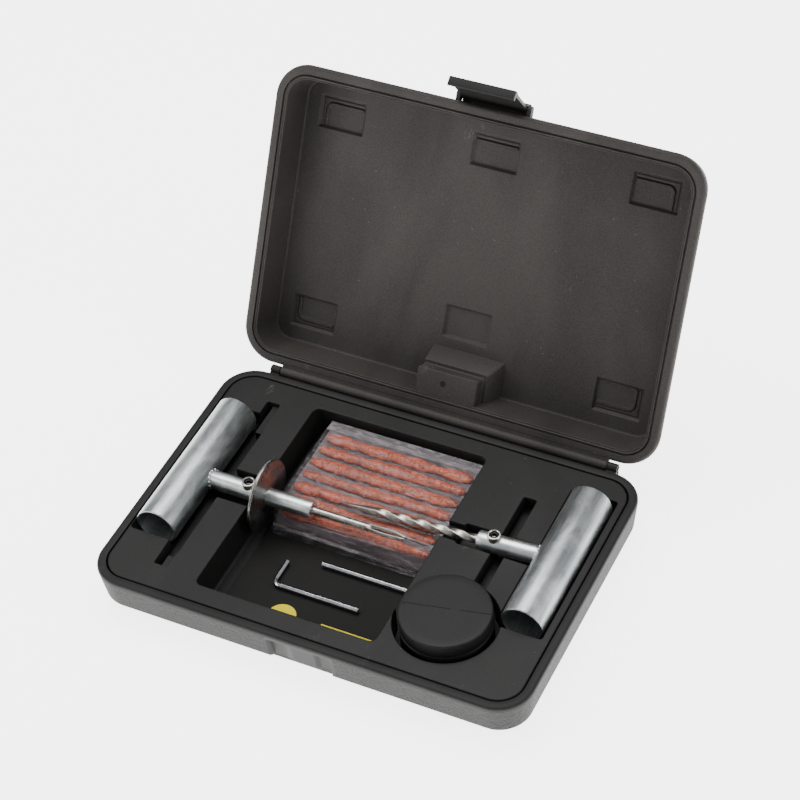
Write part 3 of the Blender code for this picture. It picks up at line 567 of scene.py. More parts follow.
class TYREKIT_OT_base(bpy.types.Operator):
    """Case base with its rim, grained walls, latch recess and end knuckles"""

    bl_idname = "tyrekit.base"
    bl_label = "Case base"

    def execute(self, context):
        settings = context.scene.tyrekit_case
        plastic = moulded_plastic("base plastic", settings.base_colour, 0.5, 0.6, grained=True)
        left, right = barrel_ends()
        shells = [base_shell(), *knuckle_shells(left, left + KNUCKLE), *knuckle_shells(right - KNUCKLE, right)]
        shelf = [(left, right, HALF_Y - 1.5, HALF_Y + 4.6, 1.0, z) for z in (RIM - 5.6, RIM - 3.4)]
        shells.append(Shell(tapered(shelf)))
        piece("base_shell", shells, plastic, "case", ["case_base"])
        return {"FINISHED"}


# ---- tray ---------------------------------------------------------------------------------------------
TROUGH_HALF = TUBE_RADIUS + 1.3
WELL = (-71.7, 40.4, -73.4, 74.6)  # left, right, front, back
SLOT_DEPTH = 10.0
LEDGE_DEPTH = 3.5
CHANNEL_DEPTH = 8.0
STEP_DEPTH = 4.2
TUB_DEPTH = 18.3
HANDLE_END_PLAY = 5.0
TUB_LOW, TUB_HIGH = span("tub_cap")
TUB_X, TUB_Y = (TUB_LOW[:2] + TUB_HIGH[:2]) / 2
TUB_POCKET = 29.8


def pocket(left, right, front, back, floor, corner, edge, fillet=0.8, draft=0.0):
    """Cutter for a pocket: round outlines that widen by a quarter round at the rim and close in at the floor.

    The half width at the rim is that of the pocket plus e(1 - cos a) while z climbs e sin a."""
    half = np.array([(right - left) / 2, (back - front) / 2])
    centre = ((left + right) / 2, (front + back) / 2)
    levels = [(-draft - fillet * (1 - math.sin(a)), floor + fillet * (1 - math.cos(a))) for a in quarter()]
    levels += [(edge * (1 - math.cos(a)), RIM - edge + edge * math.sin(a)) for a in quarter()]
    levels.append((edge, RIM + 2))
    rings = [(half[0] + grow, half[1] + grow, max(corner + grow, 0.25), z) for grow, z in levels]
    return Shell(stacked(rings, centre))


def trough(centre_x, front, back, edge):
    """Cutter for a handle: its half width follows the circle round the handle below its axis."""
    z_low = TOOL_AXIS - TROUGH_HALF
    turn = np.linspace(-math.pi / 2 + 0.12, 0, 14)
    levels = [(TROUGH_HALF * math.cos(a), TOOL_AXIS + TROUGH_HALF * math.sin(a)) for a in turn[:-1]]
    levels = [(half, max(z, z_low + 0.1), 0.0) for half, z in levels]
    levels += [(TROUGH_HALF + edge * (1 - math.cos(a)), RIM - edge + edge * math.sin(a), edge * (1 - math.cos(a)))
               for a in quarter()]
    levels.append((TROUGH_HALF + edge, RIM + 2, edge))
    half_y = (back - front) / 2
    rings = [(half_x, half_y + grow, min(1.6 + grow, half_x - 0.05), z) for half_x, z, grow in levels]
    return Shell(stacked(rings, (centre_x, (front + back) / 2)))


def round_pocket(x, y, radius, floor, edge):
    """Turned cutter for the tub's pocket, with the same rounded rim."""
    profile = [(floor, radius - 1.0), (floor + 0.3, radius - 0.3), (floor + 1.0, radius)]
    profile += [(RIM - edge + edge * math.sin(a), radius + edge * (1 - math.cos(a))) for a in quarter(6)]
    profile.append((RIM + 2, radius + edge))
    upright = Matrix.Translation((x, y, 0)) @ Matrix.Rotation(-math.pi / 2, 4, "Y")
    return Shell(turned(profile, 96)).placed(upright)


class TYREKIT_OT_tray(bpy.types.Operator):
    """Fitted tray: well, handle troughs, shank channels, finger slots and the tub's pocket"""

    bl_idname = "tyrekit.tray"
    bl_label = "Tray"

    def execute(self, context):
        settings = context.scene.tyrekit_case
        edge = settings.edge / MM
        plastic = moulded_plastic("tray plastic", settings.base_colour, 0.46, 0.8)
        low, high = TRAY_LOW, TRAY_HIGH
        profile = [(0.0, low[2]), (0.0, RIM - 0.9), (0.1, RIM - 0.45), (0.35, RIM - 0.15), (0.8, RIM)]
        body = carried(profile, round_rectangle(high[0], high[1], TRAY_CORNER, 16))
        rasp_low, rasp_high = span("rasp_handle")
        handles = []
        for handle_low, handle_high in ((HANDLE_LOW, HANDLE_HIGH), (rasp_low, rasp_high)):
            middle = (handle_low[0] + handle_high[0]) / 2
            handles.append(trough(middle, handle_low[1] - HANDLE_END_PLAY,
                                  handle_high[1] + HANDLE_END_PLAY, edge))
        left, right, front, back = WELL
        card = span("instruction_card")[0][2]
        channels = {
            "insertion": (HANDLE_LOW[0] + 13, left + 3, -11.0, 12.7, RIM - CHANNEL_DEPTH, 3.5, edge),
            "rasp": (49.8, rasp_low[0] + 6, 8.5, 24.3, RIM - CHANNEL_DEPTH, 2.5, edge),
            "rasp step": (right - 3, 52.5, 10.0, 22.3, RIM - STEP_DEPTH, 2.0, edge),
        }
        slots = {
            "left": (-100.9, -91.8, -58.7, 45.6, RIM - SLOT_DEPTH, 1.2, edge),
            "left ledge": (-100.7, -92.4, -68.7, 68.6, RIM - LEDGE_DEPTH, 1.0, edge * 0.7),
            "left groove": (-100.7, -97.4, -68.4, 68.3, RIM - SLOT_DEPTH, 0.6, GAP, GAP),
            "right": (72.5, 80.4, -30.0, 54.8, RIM - SLOT_DEPTH, 1.2, edge),
        }
        cutters = [
            pocket(left, right, front, back, card - GAP, 4.0, edge, 1.5),
            *handles,
            *(pocket(*sizes) for sizes in (*channels.values(), *slots.values())),
            round_pocket(TUB_X, TUB_Y, TUB_POCKET, RIM - TUB_DEPTH, edge),
        ]
        piece("tray", [Shell(body)], plastic, "case", ["case_tray"],
              cutters=[[cutter] for cutter in cutters], weighted=True)
        return {"FINISHED"}


# ---- lid ----------------------------------------------------------------------------------------------
RECESS = (30.5, 20.6)
RECESS_COLUMN = 99.2
RECESS_ROWS = (153.7, 29.9, 48.6)  # latch row, hinge row at the sides, hinge row in the middle
SLAB_HALF = (122.6, 79.0)
SLAB_CORNER = 10.0
BLOCK = (-18.0, 20.4, 24.0, 6.2)  # left, right, far side and near side off the hinge-side outline
BLOCK_EASE = 0.7
LID_UNDERSIDE = 24.3  # back of the hollow's floor


def lid_shell():
    """Lid wall: a curved outer profile, a rounded rim with a groove and two ridges, and the hollow's wall."""
    outer = smooth_curve([(11.5, LID_HEIGHT), (8.0, 23.6), (5.6, 20.5), (3.8, 16.0), (1.8, 10.0), (0.15, 4.0),
                          (0.0, 2.4), (0.5, 0.8), (1.5, 0.12), (2.7, 0.0)], 5)
    rim = smooth_curve([(2.9, 0.0), (4.9, 0.0), (5.25, 0.15), (5.5, 1.2), (6.2, 1.2), (6.45, 0.2), (6.75, 0.0),
                        (7.1, 0.35), (7.45, 0.6), (7.8, 0.3), (8.1, 0.35), (8.35, 0.95)], 4)
    wall = smooth_curve([(8.4, 1.4), (9.6, 12.0), (10.6, 20.4), (10.9, 21.2), (11.6, 21.7), (12.5, 21.86)], 5)
    tail = [(12.7, 23.9)]
    profile = np.vstack([[(14.0, LID_HEIGHT)], outer, rim, wall, tail])
    grid = carried(profile, round_rectangle(HALF_X, HALF_Y, CASE_CORNER, 22, 2))
    mask = np.zeros(len(profile))
    mask[: len(outer) - 10] = 1.0
    return Shell(grid, mask=mask[:, None])


def inside(x, v, centre, half, corner):
    """Distance into a rectangle with round corners, negative outside."""
    across = np.abs(x - centre[0]) - half[0] + corner
    up = np.abs(v - centre[1]) - half[1] + corner
    out = np.hypot(np.maximum(across, 0), np.maximum(up, 0)) + np.minimum(np.maximum(across, up), 0)
    return corner - out


def refined(low, high, coarse, bands, fine=0.35):
    """Grid lines between low and high, close together over the bands."""
    lines = [np.arange(low, high, coarse), np.array([high])]
    lines += [np.arange(start, end, fine) for start, end in bands]
    return np.unique(np.round(np.concatenate(lines), 3))


def lid_floor(depth):
    """Floor of the hollow as a height over x and v: recesses stepped down with sloped sides, and rib pairs
    inside them along the level lines of a rounded corner."""
    half = (RECESS[0] / 2, RECESS[1] / 2)
    columns = [(c - half[0] - 1.2, c + half[0] + 1.2) for c in (-RECESS_COLUMN, 0.0, RECESS_COLUMN)]
    rows = [(v - half[1] - 1.2, v + half[1] + 1.2) for v in RECESS_ROWS]
    x = refined(-SLAB_HALF[0], SLAB_HALF[0], 3.0, columns)
    v = refined(HALF_Y - SLAB_HALF[1], HALF_Y + SLAB_HALF[1], 3.0, rows)
    v, x = np.meshgrid(v, x, indexing="ij")
    height = np.full(x.shape, LID_HOLLOW)
    for row, middle_v in enumerate(RECESS_ROWS):
        for column in (-1, 0, 1):
            if (row == 1) == (column == 0) and row > 0:
                continue
            centre = (column * RECESS_COLUMN, middle_v)
            into = inside(x, v, centre, half, 1.3)
            height += depth * ease(into, 0.1, 1.9)
            if row == 2:
                continue
            side = 1.0 if row == 0 else -1.0
            a = (x - centre[0]) * (column or 1)
            b = (v - centre[1]) * side
            ring = 4.0
            reach = (half[0] - 4.6 + (12 if column == 0 else 0), half[1] - 4.6)
            q = (a - reach[0] + ring, b - reach[1] + ring)
            level = np.hypot(np.maximum(q[0], 0), np.maximum(q[1], 0)) + np.minimum(np.maximum(*q), 0) - ring
            bar = ease(level, -2.0, -1.6) * (1 - ease(level, -0.2, 0.15))
            groove = ease(level, 0.0, 0.25) * (1 - ease(level, 0.65, 0.95))
            ledge = ease(level, 0.8, 1.1)
            height += (0.5 * groove - 0.9 * bar - 0.5 * ledge) * ease(into, 1.9, 2.5)
    flat = np.dstack([x, v - HALF_Y])
    corner = np.maximum(np.abs(flat) - (np.array(SLAB_HALF) - SLAB_CORNER), 0)
    reach = np.linalg.norm(corner, axis=-1, keepdims=True)
    shrink = np.where(reach > SLAB_CORNER, SLAB_CORNER / np.maximum(reach, 1e-6), 1.0)
    beyond = np.array(SLAB_HALF) - SLAB_CORNER + corner * shrink
    flat = np.sign(flat) * np.where(reach > SLAB_CORNER, beyond, np.abs(flat))
    top = np.dstack([flat[..., 0], -flat[..., 1], height])
    bottom = np.dstack([flat[..., 0], -flat[..., 1], np.full(x.shape, LID_UNDERSIDE)])
    return slab(top, bottom)


def lid_block():
    """Raised block flush with the rim: its far and right sides slope up from the floor to a narrow ledge."""
    left, right, far, near = BLOCK
    far, near = HALF_Y - far, HALF_Y - near
    spread = [(1.0, 7.5, 9.0, 1.0, 23.2), (1.0, 7.0, 8.4, 1.0, 21.4), (0.4, 3.0, 3.0, 1.4, 9.0),
              (0.3, 2.4, 2.4, 1.4, 8.4), (0.1, 0.6, 0.5, 1.4, 8.6), (0.0, 0.0, 0.0, 1.4, 8.0)]
    levels = [(left - a, right + b, far - c, near, radius, z) for a, b, c, radius, z in spread]
    for angle in quarter():
        drawn_in = BLOCK_EASE * (1 - math.cos(angle))
        levels.append((left + drawn_in, right - drawn_in, far + drawn_in, near - drawn_in, 1.4,
                       1.0 - BLOCK_EASE * math.sin(angle)))
    return Shell(tapered(levels))


def lid_frame():
    """Matrix from the shut lid's plan (x, y, height off its rim) to the open lid."""
    rim_z = 2 * HINGE[2] - RIM
    shut = Matrix.Translation((0, 0, rim_z))
    to_hinge = Matrix.Translation(-HINGE)
    return Matrix.Translation(HINGE) @ Matrix.Rotation(-OPEN_ANGLE, 4, "X") @ to_hinge @ shut


def placed_in_lid(*shells):
    """Shells drawn with the rim at height 0 and the hollow up, moved to the open lid."""
    return [shell.placed(lid_frame()) for shell in shells]


class TYREKIT_OT_lid(bpy.types.Operator):
    """Lid with its curved walls, rim groove, recessed floor, block and hinge barrel"""

    bl_idname = "tyrekit.lid"
    bl_label = "Lid"

    def execute(self, context):
        settings = context.scene.tyrekit_case
        plastic = moulded_plastic("lid plastic", settings.lid_colour, 0.52, 1.0, grained=True)
        left, right = barrel_ends()
        start, end = left + KNUCKLE + GAP, right - KNUCKLE - GAP
        place = Matrix.Translation((0, HINGE[1], -GAP / 2))
        barrel = Shell(barrel_grid(start, end), wrap_rows=True, capped=False).placed(place)
        web = Shell(stacked([((end - start) / 2, 2.2, 0.3, 0.2), ((end - start) / 2, 2.2, 0.3, 2.1)],
                            ((start + end) / 2, HALF_Y + 0.6)))
        shells = placed_in_lid(lid_shell(), lid_floor(settings.recess_depth / MM), lid_block(), barrel, web)
        shells += placed_in_lid(*latch_ears())
        piece("lid_shell", shells, plastic, "lid_body", ["lid"])
        # A thin black disc on the block's face stands for the pin hole's dark inside: painted shadow, no hole is cut.
        dark = Graph("hole shadow", 0.9)
        dark.colour((0.006, 0.006, 0.006, 1.0))
        upright = Matrix.Translation((-1.0, HALF_Y - 17.0, 0)) @ Matrix.Rotation(math.pi / 2, 4, "Y")
        disc = Shell(turned([(-0.26, 1.8), (-0.22, 1.8)], 32)).placed(upright)
        piece("lid_pin_hole_painted_shadow", placed_in_lid(disc), dark.material, "lid_body")
        return {"FINISHED"}


# ---- latch --------------------------------------------------------------------------------------------
LATCH_HALF = 20.5
LATCH_LENGTH = 26.8
LATCH_BARREL = 2.6
EAR = 2.5
EAR_NOSE = 2.0
PIVOT_OUT = 3.2  # latch pin in front of the lid's wall
PIVOT_UP = 8.0  # and behind its rim


def latch_ears():
    """Two rounded ears that hold the latch pin on the lid's front wall."""
    shells = []
    for side in (-1, 1):
        turn = np.linspace(-math.pi / 2, math.pi / 2, 13)
        nose = np.column_stack([-HALF_Y - PIVOT_OUT - EAR_NOSE * np.cos(turn), PIVOT_UP + EAR_NOSE * np.sin(turn)])
        outline = np.vstack([nose, [(-HALF_Y + 4.5, 10.0), (-HALF_Y + 4.5, 6.0)]])
        rows = []
        for x in (LATCH_HALF + GAP, LATCH_HALF + GAP + EAR):
            rows.append(np.column_stack([np.full(len(outline), side * x), outline]))
        shells.append(Shell(np.array(rows)))
    wide = LATCH_HALF + 0.5
    web = [(-wide, wide, -HALF_Y - 5.4, -HALF_Y + 4.5, 1.0, z) for z in (10.9, 12.0)]
    return [*shells, Shell(tapered(web))]


def latch_shells():
    """Latch plate as a side view carried across its width, with a hooked lip and fine grip ribs on it.

    The side view runs down the outer face, round the lip, up the inner face and round the barrel."""
    outer_z = np.linspace(-3.2, -LATCH_LENGTH + 3.4, 20)
    outer = np.column_stack([-1.1 - 0.35 * np.sin((outer_z + 3) / 7), outer_z])
    lip_z = np.linspace(-LATCH_LENGTH + 3.2, -LATCH_LENGTH + 0.4, 15)
    lip_out = np.column_stack([-1.5 - 0.22 * np.abs(np.sin(lip_z * 4.2)), lip_z])
    hook = smooth_curve([(-1.1, -LATCH_LENGTH), (1.2, -LATCH_LENGTH), (3.4, -LATCH_LENGTH + 0.2),
                         (3.9, -LATCH_LENGTH + 1.0), (3.5, -LATCH_LENGTH + 1.9), (1.5, -LATCH_LENGTH + 2.3)], 4)
    inner = smooth_curve([(1.15, -LATCH_LENGTH + 3.0), (1.0, -14.0), (1.1, -6.0), (1.6, -3.0)], 6)
    turn = np.linspace(-0.8, math.pi + 0.9, 26)
    barrel = np.column_stack([LATCH_BARREL * np.cos(turn), LATCH_BARREL * np.sin(turn)])
    side = np.vstack([outer, lip_out, hook, inner, barrel])
    ends = [(-LATCH_HALF, 0.985), (-LATCH_HALF + 0.35, 1.0), (LATCH_HALF - 0.35, 1.0), (LATCH_HALF, 0.985)]
    rows = [np.column_stack([np.full(len(side), x), side * share]) for x, share in ends]
    return [Shell(np.array(rows))]


def latch_frame():
    """Matrix from the shut latch (y towards the case, z up) to its swung place on the open lid."""
    turn = Matrix.Rotation(-OPEN_ANGLE + LATCH_SHUT, 4, "X")
    return Matrix.Translation(LATCH_AXIS) @ turn


class TYREKIT_OT_latch(bpy.types.Operator):
    """Snap latch with its hooked, ribbed lip"""

    bl_idname = "tyrekit.latch"
    bl_label = "Latch"

    def execute(self, context):
        settings = context.scene.tyrekit_case
        plastic = moulded_plastic("latch plastic", settings.base_colour, 0.42, 0.3)
        shells = [shell.placed(latch_frame()) for shell in latch_shells()]
        piece("latch_plate", shells, plastic, "latch_body", ["latch"])
        return {"FINISHED"}


# ---- T-handle tools -----------------------------------------------------------------------------------
TUBE_WALL = 1.5
TUBE_EASE = 0.55  # how far the rounding of a cut end reaches along the tube
SHANK_RADIUS = 5.6
BOSS_RADIUS = 4.0
BOSS_TOP = 8.0
SCREW_RADIUS = 2.4
HEX_RADIUS = 1.5
RASP_TURN = joint("rasp_draw")["axis"]


def tube_shell(low, high):
    """Open tube along Y: outer and inner walls joined by quarter rounds at both cut ends."""
    r_out, r_in = TUBE_RADIUS, TUBE_RADIUS - TUBE_WALL
    turn = np.linspace(0, math.pi, 9)
    middle, half_wall = (r_out + r_in) / 2, TUBE_WALL / 2
    end = np.column_stack([TUBE_EASE * np.sin(turn), middle + half_wall * np.cos(turn)])
    far = end + (high[1] - TUBE_EASE, 0)
    near = end[::-1] * (-1, 1) + (low[1] + TUBE_EASE, 0)
    grid = turned(np.vstack([far, near]), 96)
    centre = (low + high) / 2
    place = Matrix.Translation((centre[0], 0, centre[2])) @ Matrix.Rotation(math.pi / 2, 4, "Z")
    return Shell(grid, wrap_rows=True, capped=False).placed(place)


def weld_bead(radius, tube_radius):
    """Lumpy ring where the shank meets the tube: a small circle carried round the saddle line
    x = sqrt(R^2 - (r sin a)^2)."""
    a = np.linspace(0, 2 * math.pi, 120, endpoint=False)
    b = np.linspace(0, 2 * math.pi, 12, endpoint=False)
    lump = 0.75 + 0.16 * np.sin(17 * a) + 0.12 * np.sin(29 * a + 1.0)
    saddle = np.sqrt(tube_radius**2 - (radius * np.sin(a)) ** 2)
    reach = radius + lump[:, None] * np.cos(b) * 0.8
    x = saddle[:, None] + 0.1 + lump[:, None] * np.sin(b) * 0.9
    return np.dstack([x, reach * np.cos(a)[:, None], reach * np.sin(a)[:, None]])


def shank_shells(length, bore):
    """Shank along +X from the tube, with a bored and eased end, and its weld."""
    end = TUBE_RADIUS + length
    r = SHANK_RADIUS
    profile = [(TUBE_RADIUS - 1.4, 0.05), (TUBE_RADIUS - 1.4, r - 0.3), (TUBE_RADIUS + 1.0, r),
               (TUBE_RADIUS + 6.0, r), (end - 6.0, r), (end - 0.7, r), (end - 0.2, r - 0.2), (end, r - 0.6),
               (end, bore + 0.4), (end - 0.3, bore), (end - 18.0, bore), (end - 18.0, 0.05)]
    return [Shell(turned(profile, 72), capped=False), Shell(weld_bead(r, TUBE_RADIUS), True, capped=False)]


def boss_shell(boss_x):
    """Nut-like ring on the shank, round outside with eased edges."""
    bore = SCREW_RADIUS + 0.3
    profile = [(3.0, bore), (3.0, BOSS_RADIUS - 0.2), (4.6, BOSS_RADIUS), (BOSS_TOP - 0.5, BOSS_RADIUS),
               (BOSS_TOP - 0.1, BOSS_RADIUS - 0.35), (BOSS_TOP, BOSS_RADIUS - 0.7), (BOSS_TOP, bore + 0.4),
               (BOSS_TOP - 0.35, bore)]
    turn = Matrix.Translation((boss_x, 0, 0)) @ Matrix.Rotation(-math.pi / 2, 4, "Y")
    return Shell(turned(profile, 56), True, capped=False).placed(turn)


def screw_shell(boss_x, bore):
    """Socket screw: a threaded side r + 0.1 sin(pitch), and rings that turn from a circle to a hexagon."""
    top = BOSS_TOP - 0.7
    low = bore + 0.15
    sides = 48
    angle = np.linspace(0, 2 * math.pi, sides, endpoint=False)
    hexagon = HEX_RADIUS * math.cos(math.pi / 6) / np.cos((angle + math.pi / 6) % (math.pi / 3) - math.pi / 6)
    rows = [np.full(sides, 0.02), np.full(sides, SCREW_RADIUS - 0.3)]
    heights = [low, low]
    for z in np.linspace(low + 0.3, top - 0.5, 22):
        rows.append(np.full(sides, SCREW_RADIUS + 0.09 * math.sin(2 * math.pi * z / 0.8)))
        heights.append(z)
    rows += [np.full(sides, SCREW_RADIUS - 0.25), np.full(sides, HEX_RADIUS + 0.45), hexagon + 0.08, hexagon,
             hexagon, np.full(sides, 0.02)]
    heights += [top, top, top - 0.1, top - 0.3, top - 2.6, top - 2.9]
    rows, heights = np.array(rows), np.array(heights)[:, None]
    grid = np.dstack([rows * np.cos(angle), rows * np.sin(angle), np.repeat(heights, sides, 1)])
    return Shell(grid).placed(Matrix.Translation((boss_x, 0, 0)))


def tool_frame(handle_centre, direction):
    """Matrix of a tool whose +X points along a direction and whose Z stays as upright as it can."""
    ahead = np.array(direction) / np.linalg.norm(direction)
    side = np.cross((0, 0, 1), ahead)
    side /= np.linalg.norm(side)
    above = np.cross(ahead, side)
    matrix = Matrix.Identity(4)
    for row in range(3):
        matrix[row][:] = (ahead[row], side[row], above[row], handle_centre[row])
    return matrix


def tool_places():
    """Each tool's frame, shank length and boss place along it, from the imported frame."""
    handle = (HANDLE_LOW + HANDLE_HIGH) / 2
    shank_low, shank_high = span("insertion_shank")
    boss = np.array(joint("insertion_screw_turn")["pos_m"]) / MM
    origin = np.array([handle[0], boss[1], boss[2]])
    insertion = (tool_frame(origin, (1, 0, 0)), shank_high[0] - handle[0] - TUBE_RADIUS, boss[0] - origin[0])
    low, high = span("rasp_handle")
    centre = (low + high) / 2
    boss = np.array(joint("rasp_screw_turn")["pos_m"]) / MM
    direction = np.array(RASP_TURN)
    reach = (boss[0] - centre[0]) / direction[0]
    origin = boss - direction * reach
    length = (centre[0] - span("rasp_shank")[0][0]) / -direction[0] - TUBE_RADIUS
    rasp = (tool_frame(origin, direction), length - 0.3, reach)
    return insertion, rasp


class TYREKIT_OT_handles(bpy.types.Operator):
    """Tube handles, welded shanks, screw bosses and socket screws of both tools"""

    bl_idname = "tyrekit.handles"
    bl_label = "Handles and shanks"

    def execute(self, context):
        settings = context.scene.tyrekit_tools
        tube = plated_steel("zinc tube", settings.zinc_dark, settings.zinc_light, 0.36, (1.0, 0.06, 1.0))
        bar = plated_steel("zinc bar", settings.zinc_light[:], shade(settings.zinc_light, 1.45)[:3], 0.3,
                           (0.08, 1.0, 1.0))
        ring = plated_steel("boss steel", settings.nickel_dark, settings.nickel_light, 0.28)
        black = Graph("black oxide", 0.42, 0.9)
        black.colour((0.018, 0.018, 0.02, 1.0))
        black.set("Roughness", black.noise(900, 3) * 0.3 + 0.25)
        names = (("insertion", "insertion_tool", "insertion_screw", 2.55), ("rasp", "rasp_tool", "rasp_screw", 2.7))
        for (prefix, body, screw_body, bore), (matrix, length, boss_x) in zip(names, tool_places()):
            low, high = span(f"{prefix}_handle")
            piece(f"{prefix}_tube", [tube_shell(low, high)], tube, body, [f"{prefix}_handle"])
            shank = [shell.placed(matrix) for shell in shank_shells(length, bore)]
            piece(f"{prefix}_bar", shank, bar, body, [f"{prefix}_shank"])
            piece(f"{prefix}_boss", [boss_shell(boss_x).placed(matrix)], ring, body,
                  [f"{prefix}_screw_boss"])
            piece(f"{prefix}_screw", [screw_shell(boss_x, bore).placed(matrix)], black.material, screw_body,
                  [f"{prefix}_set_screw"])
        return {"FINISHED"}


class TYREKIT_OT_collar(bpy.types.Operator):
    """Flanged sleeve: the stop disc and the sleeve it is fixed to"""

    bl_idname = "tyrekit.collar"
    bl_label = "Stop collar"

    def execute(self, context):
        settings = context.scene.tyrekit_tools
        low, high = span("stop_sleeve")
        disc_low, disc_high = span("stop_disc")
        centre = Matrix.Translation((0, (low[1] + high[1]) / 2, (low[2] + high[2]) / 2))
        radius = (high[1] - low[1]) / 2
        bore = 2.55
        bar = plated_steel("sleeve steel", settings.zinc_light[:], shade(settings.zinc_light, 1.5)[:3], 0.3,
                           (0.08, 1.0, 1.0))
        profile = [(low[0], bore), (low[0], radius - 0.2), (low[0] + 2.2, radius), (high[0] - 4.0, radius),
                   (high[0] - 0.5, radius), (high[0] - 0.12, radius - 0.18), (high[0], radius - 0.5),
                   (high[0], bore + 0.9), (high[0] - 0.5, bore + 0.3), (high[0] - 2.0, bore)]
        sleeve = Shell(turned(profile, 72), True, capped=False).placed(centre)
        piece("sleeve", [sleeve], bar, "stop_collar", ["stop_sleeve"])
        disc_radius = (disc_high[1] - disc_low[1]) / 2
        left, right = disc_low[0], disc_high[0]
        turn = np.linspace(math.pi / 2, -math.pi / 2, 11)
        half = (right - left) / 2
        edge = np.column_stack([(left + right) / 2 + half * np.sin(turn), disc_radius - 0.7 + 0.7 * np.cos(turn)])
        profile = np.vstack([[(right, radius + 0.1), (right + 0.5, radius + 0.05), (right, radius + 1.4)],
                             [(right, disc_radius - 2.0)], edge, [(left, disc_radius - 2.0), (left, radius + 0.1)]])
        disc = Shell(turned(profile, 128), True, capped=False).placed(centre)
        steel = plated_steel("disc steel", (0.16, 0.155, 0.15), (0.46, 0.45, 0.43), 0.24)
        piece("disc", [disc], steel, "stop_collar", ["stop_disc"])
        return {"FINISHED"}


# ---- needle -------------------------------------------------------------------------------------------
EYE_LENGTH = 25.7


def needle_shells(start, neck, end, radius):
    """Round rod that splits into two prongs; each prong's centre line bows out by sin and meets the other
    at the tip, where a slit stays open."""
    rod = turned([(start, 0.05), (start, radius - 0.3), (start + 0.4, radius), (neck - 4.0, radius),
                  (neck + 0.6, radius * 0.97), (neck + 2.6, radius * 0.8), (neck + 3.4, radius * 0.4),
                  (neck + 3.6, 0.05)], 40)
    shells = [Shell(rod, capped=False)]
    t = np.linspace(0, 1, 70)
    x = neck - 0.5 + (end - neck + 0.5 - 0.5) * t
    bow = 0.8 + 1.05 * np.sin(np.pi * np.clip(t * 1.08, 0, 1)) ** 0.8 - 0.1 * ease(t, 0.85, 1.0)
    nick = np.exp(-(((t - 0.885) / 0.03) ** 2))
    for side in (-1, 1):
        path = np.column_stack([x, side * (bow + 0.05), np.zeros_like(x)])
        taper = np.where(t > 0.9, np.sqrt(np.clip(1 - ((t - 0.9) / 0.1) ** 2, 0.02, 1)), 1.0)
        thin = (0.66 + 0.3 * (1 - ease(t, 0.05, 0.25)) + 0.12 * nick) * taper
        tall = (1.55 + 0.3 * (1 - ease(t, 0.0, 0.2)) - 0.45 * nick * 0.5 - 0.35 * ease(t, 0.6, 1.0)) * taper
        shells.append(Shell(swept(path, thin, tall, 20)))
    return shells


class TYREKIT_OT_needle(bpy.types.Operator):
    """Insertion needle with its split eye"""

    bl_idname = "tyrekit.needle"
    bl_label = "Needle"

    def execute(self, context):
        settings = context.scene.tyrekit_tools
        low, high = span("insertion_needle")
        radius = (high[2] - low[2]) / 2
        neck = high[0] - EYE_LENGTH
        matrix = Matrix.Translation((0, (low[1] + high[1]) / 2, (low[2] + high[2]) / 2))
        nickel = plated_steel("needle nickel", settings.nickel_dark, settings.nickel_light, 0.24, (0.1, 1.0, 1.0))
        shells = [shell.placed(matrix) for shell in needle_shells(low[0], neck, high[0], radius)]
        piece("needle_bar", shells, nickel, "needle", ["insertion_needle"])
        return {"FINISHED"}


# ---- rasp ---------------------------------------------------------------------------------------------
def rasp_grid(end, twist, cone, turns):
    """Round stem that becomes a twisted square bar, then a straight four-sided point.

    The section's radius is s / (|cos|^n + |sin|^n)^(1/n), n going from 2 (round) to 5 (nearly square)."""
    x = np.concatenate([np.linspace(end - 20, end + 1, 5), np.linspace(end + 1.3, end + twist, 260),
                        np.linspace(end + twist + 0.6, end + twist + cone, 40)])
    share = np.clip((x - end - 1) / (twist - 1), 0, 1)
    square = ease(x, end + 0.5, end + 4.0)
    n = 2 + 5.5 * square
    size = 2.4 - 0.28 * square
    size = size * (1 - 0.98 * np.clip((x - end - twist) / cone, 0, 1) ** 1.12)
    angle = np.linspace(0, 2 * math.pi, 64, endpoint=False)[None]
    power = n[:, None]
    radius = size[:, None] / (np.abs(np.cos(angle)) ** power + np.abs(np.sin(angle)) ** power) ** (1 / power)
    turn = angle + (2 * math.pi * turns * share)[:, None]
    ridge = 1 + 0.012 * np.sin(2 * math.pi * x / 0.9)[:, None] * square[:, None] * (share < 1)[:, None]
    return np.dstack([np.repeat(x[:, None], 64, 1), radius * ridge * np.cos(turn), radius * ridge * np.sin(turn)])


class TYREKIT_OT_rasp(bpy.types.Operator):
    """Twisted square rasp with its long point"""

    bl_idname = "tyrekit.rasp"
    bl_label = "Rasp"

    def execute(self, context):
        settings = context.scene.tyrekit_tools
        matrix, length, _ = tool_places()[1]
        end = TUBE_RADIUS + length
        nickel = plated_steel("rasp nickel", settings.nickel_dark, settings.nickel_light, 0.3, depth=0.00005)
        shell = Shell(rasp_grid(end, 61.5, 23.5, 1.3)).placed(matrix)
        piece("rasp_bar", [shell], nickel, "rasp", ["rasp_bit"])
        return {"FINISHED"}


# ---- plug strips --------------------------------------------------------------------------------------
PACK_LOW, PACK_HIGH = span("strip_film")
SHOULDER = 12.0
STRIP_PITCH = 10.3
FIRST_STRIP = 11.8
STRIPS = 7


def pack_path():
    """Side view of the pack's face as dense (y, z) points: flat top, then a quarter ellipse to its foot."""
    turn = np.linspace(0, math.pi / 2, 220)
    floor = PACK_LOW[2]
    top = PACK_HIGH[2]
    round_y = SHOULDER - (SHOULDER - PACK_LOW[1]) * np.sin(turn)
    round_z = floor + (top - floor) * np.cos(turn)
    flat_y = np.linspace(PACK_HIGH[1], SHOULDER, 160, endpoint=False)
    return np.vstack([np.column_stack([flat_y, np.full(160, top)]), np.column_stack([round_y, round_z])])


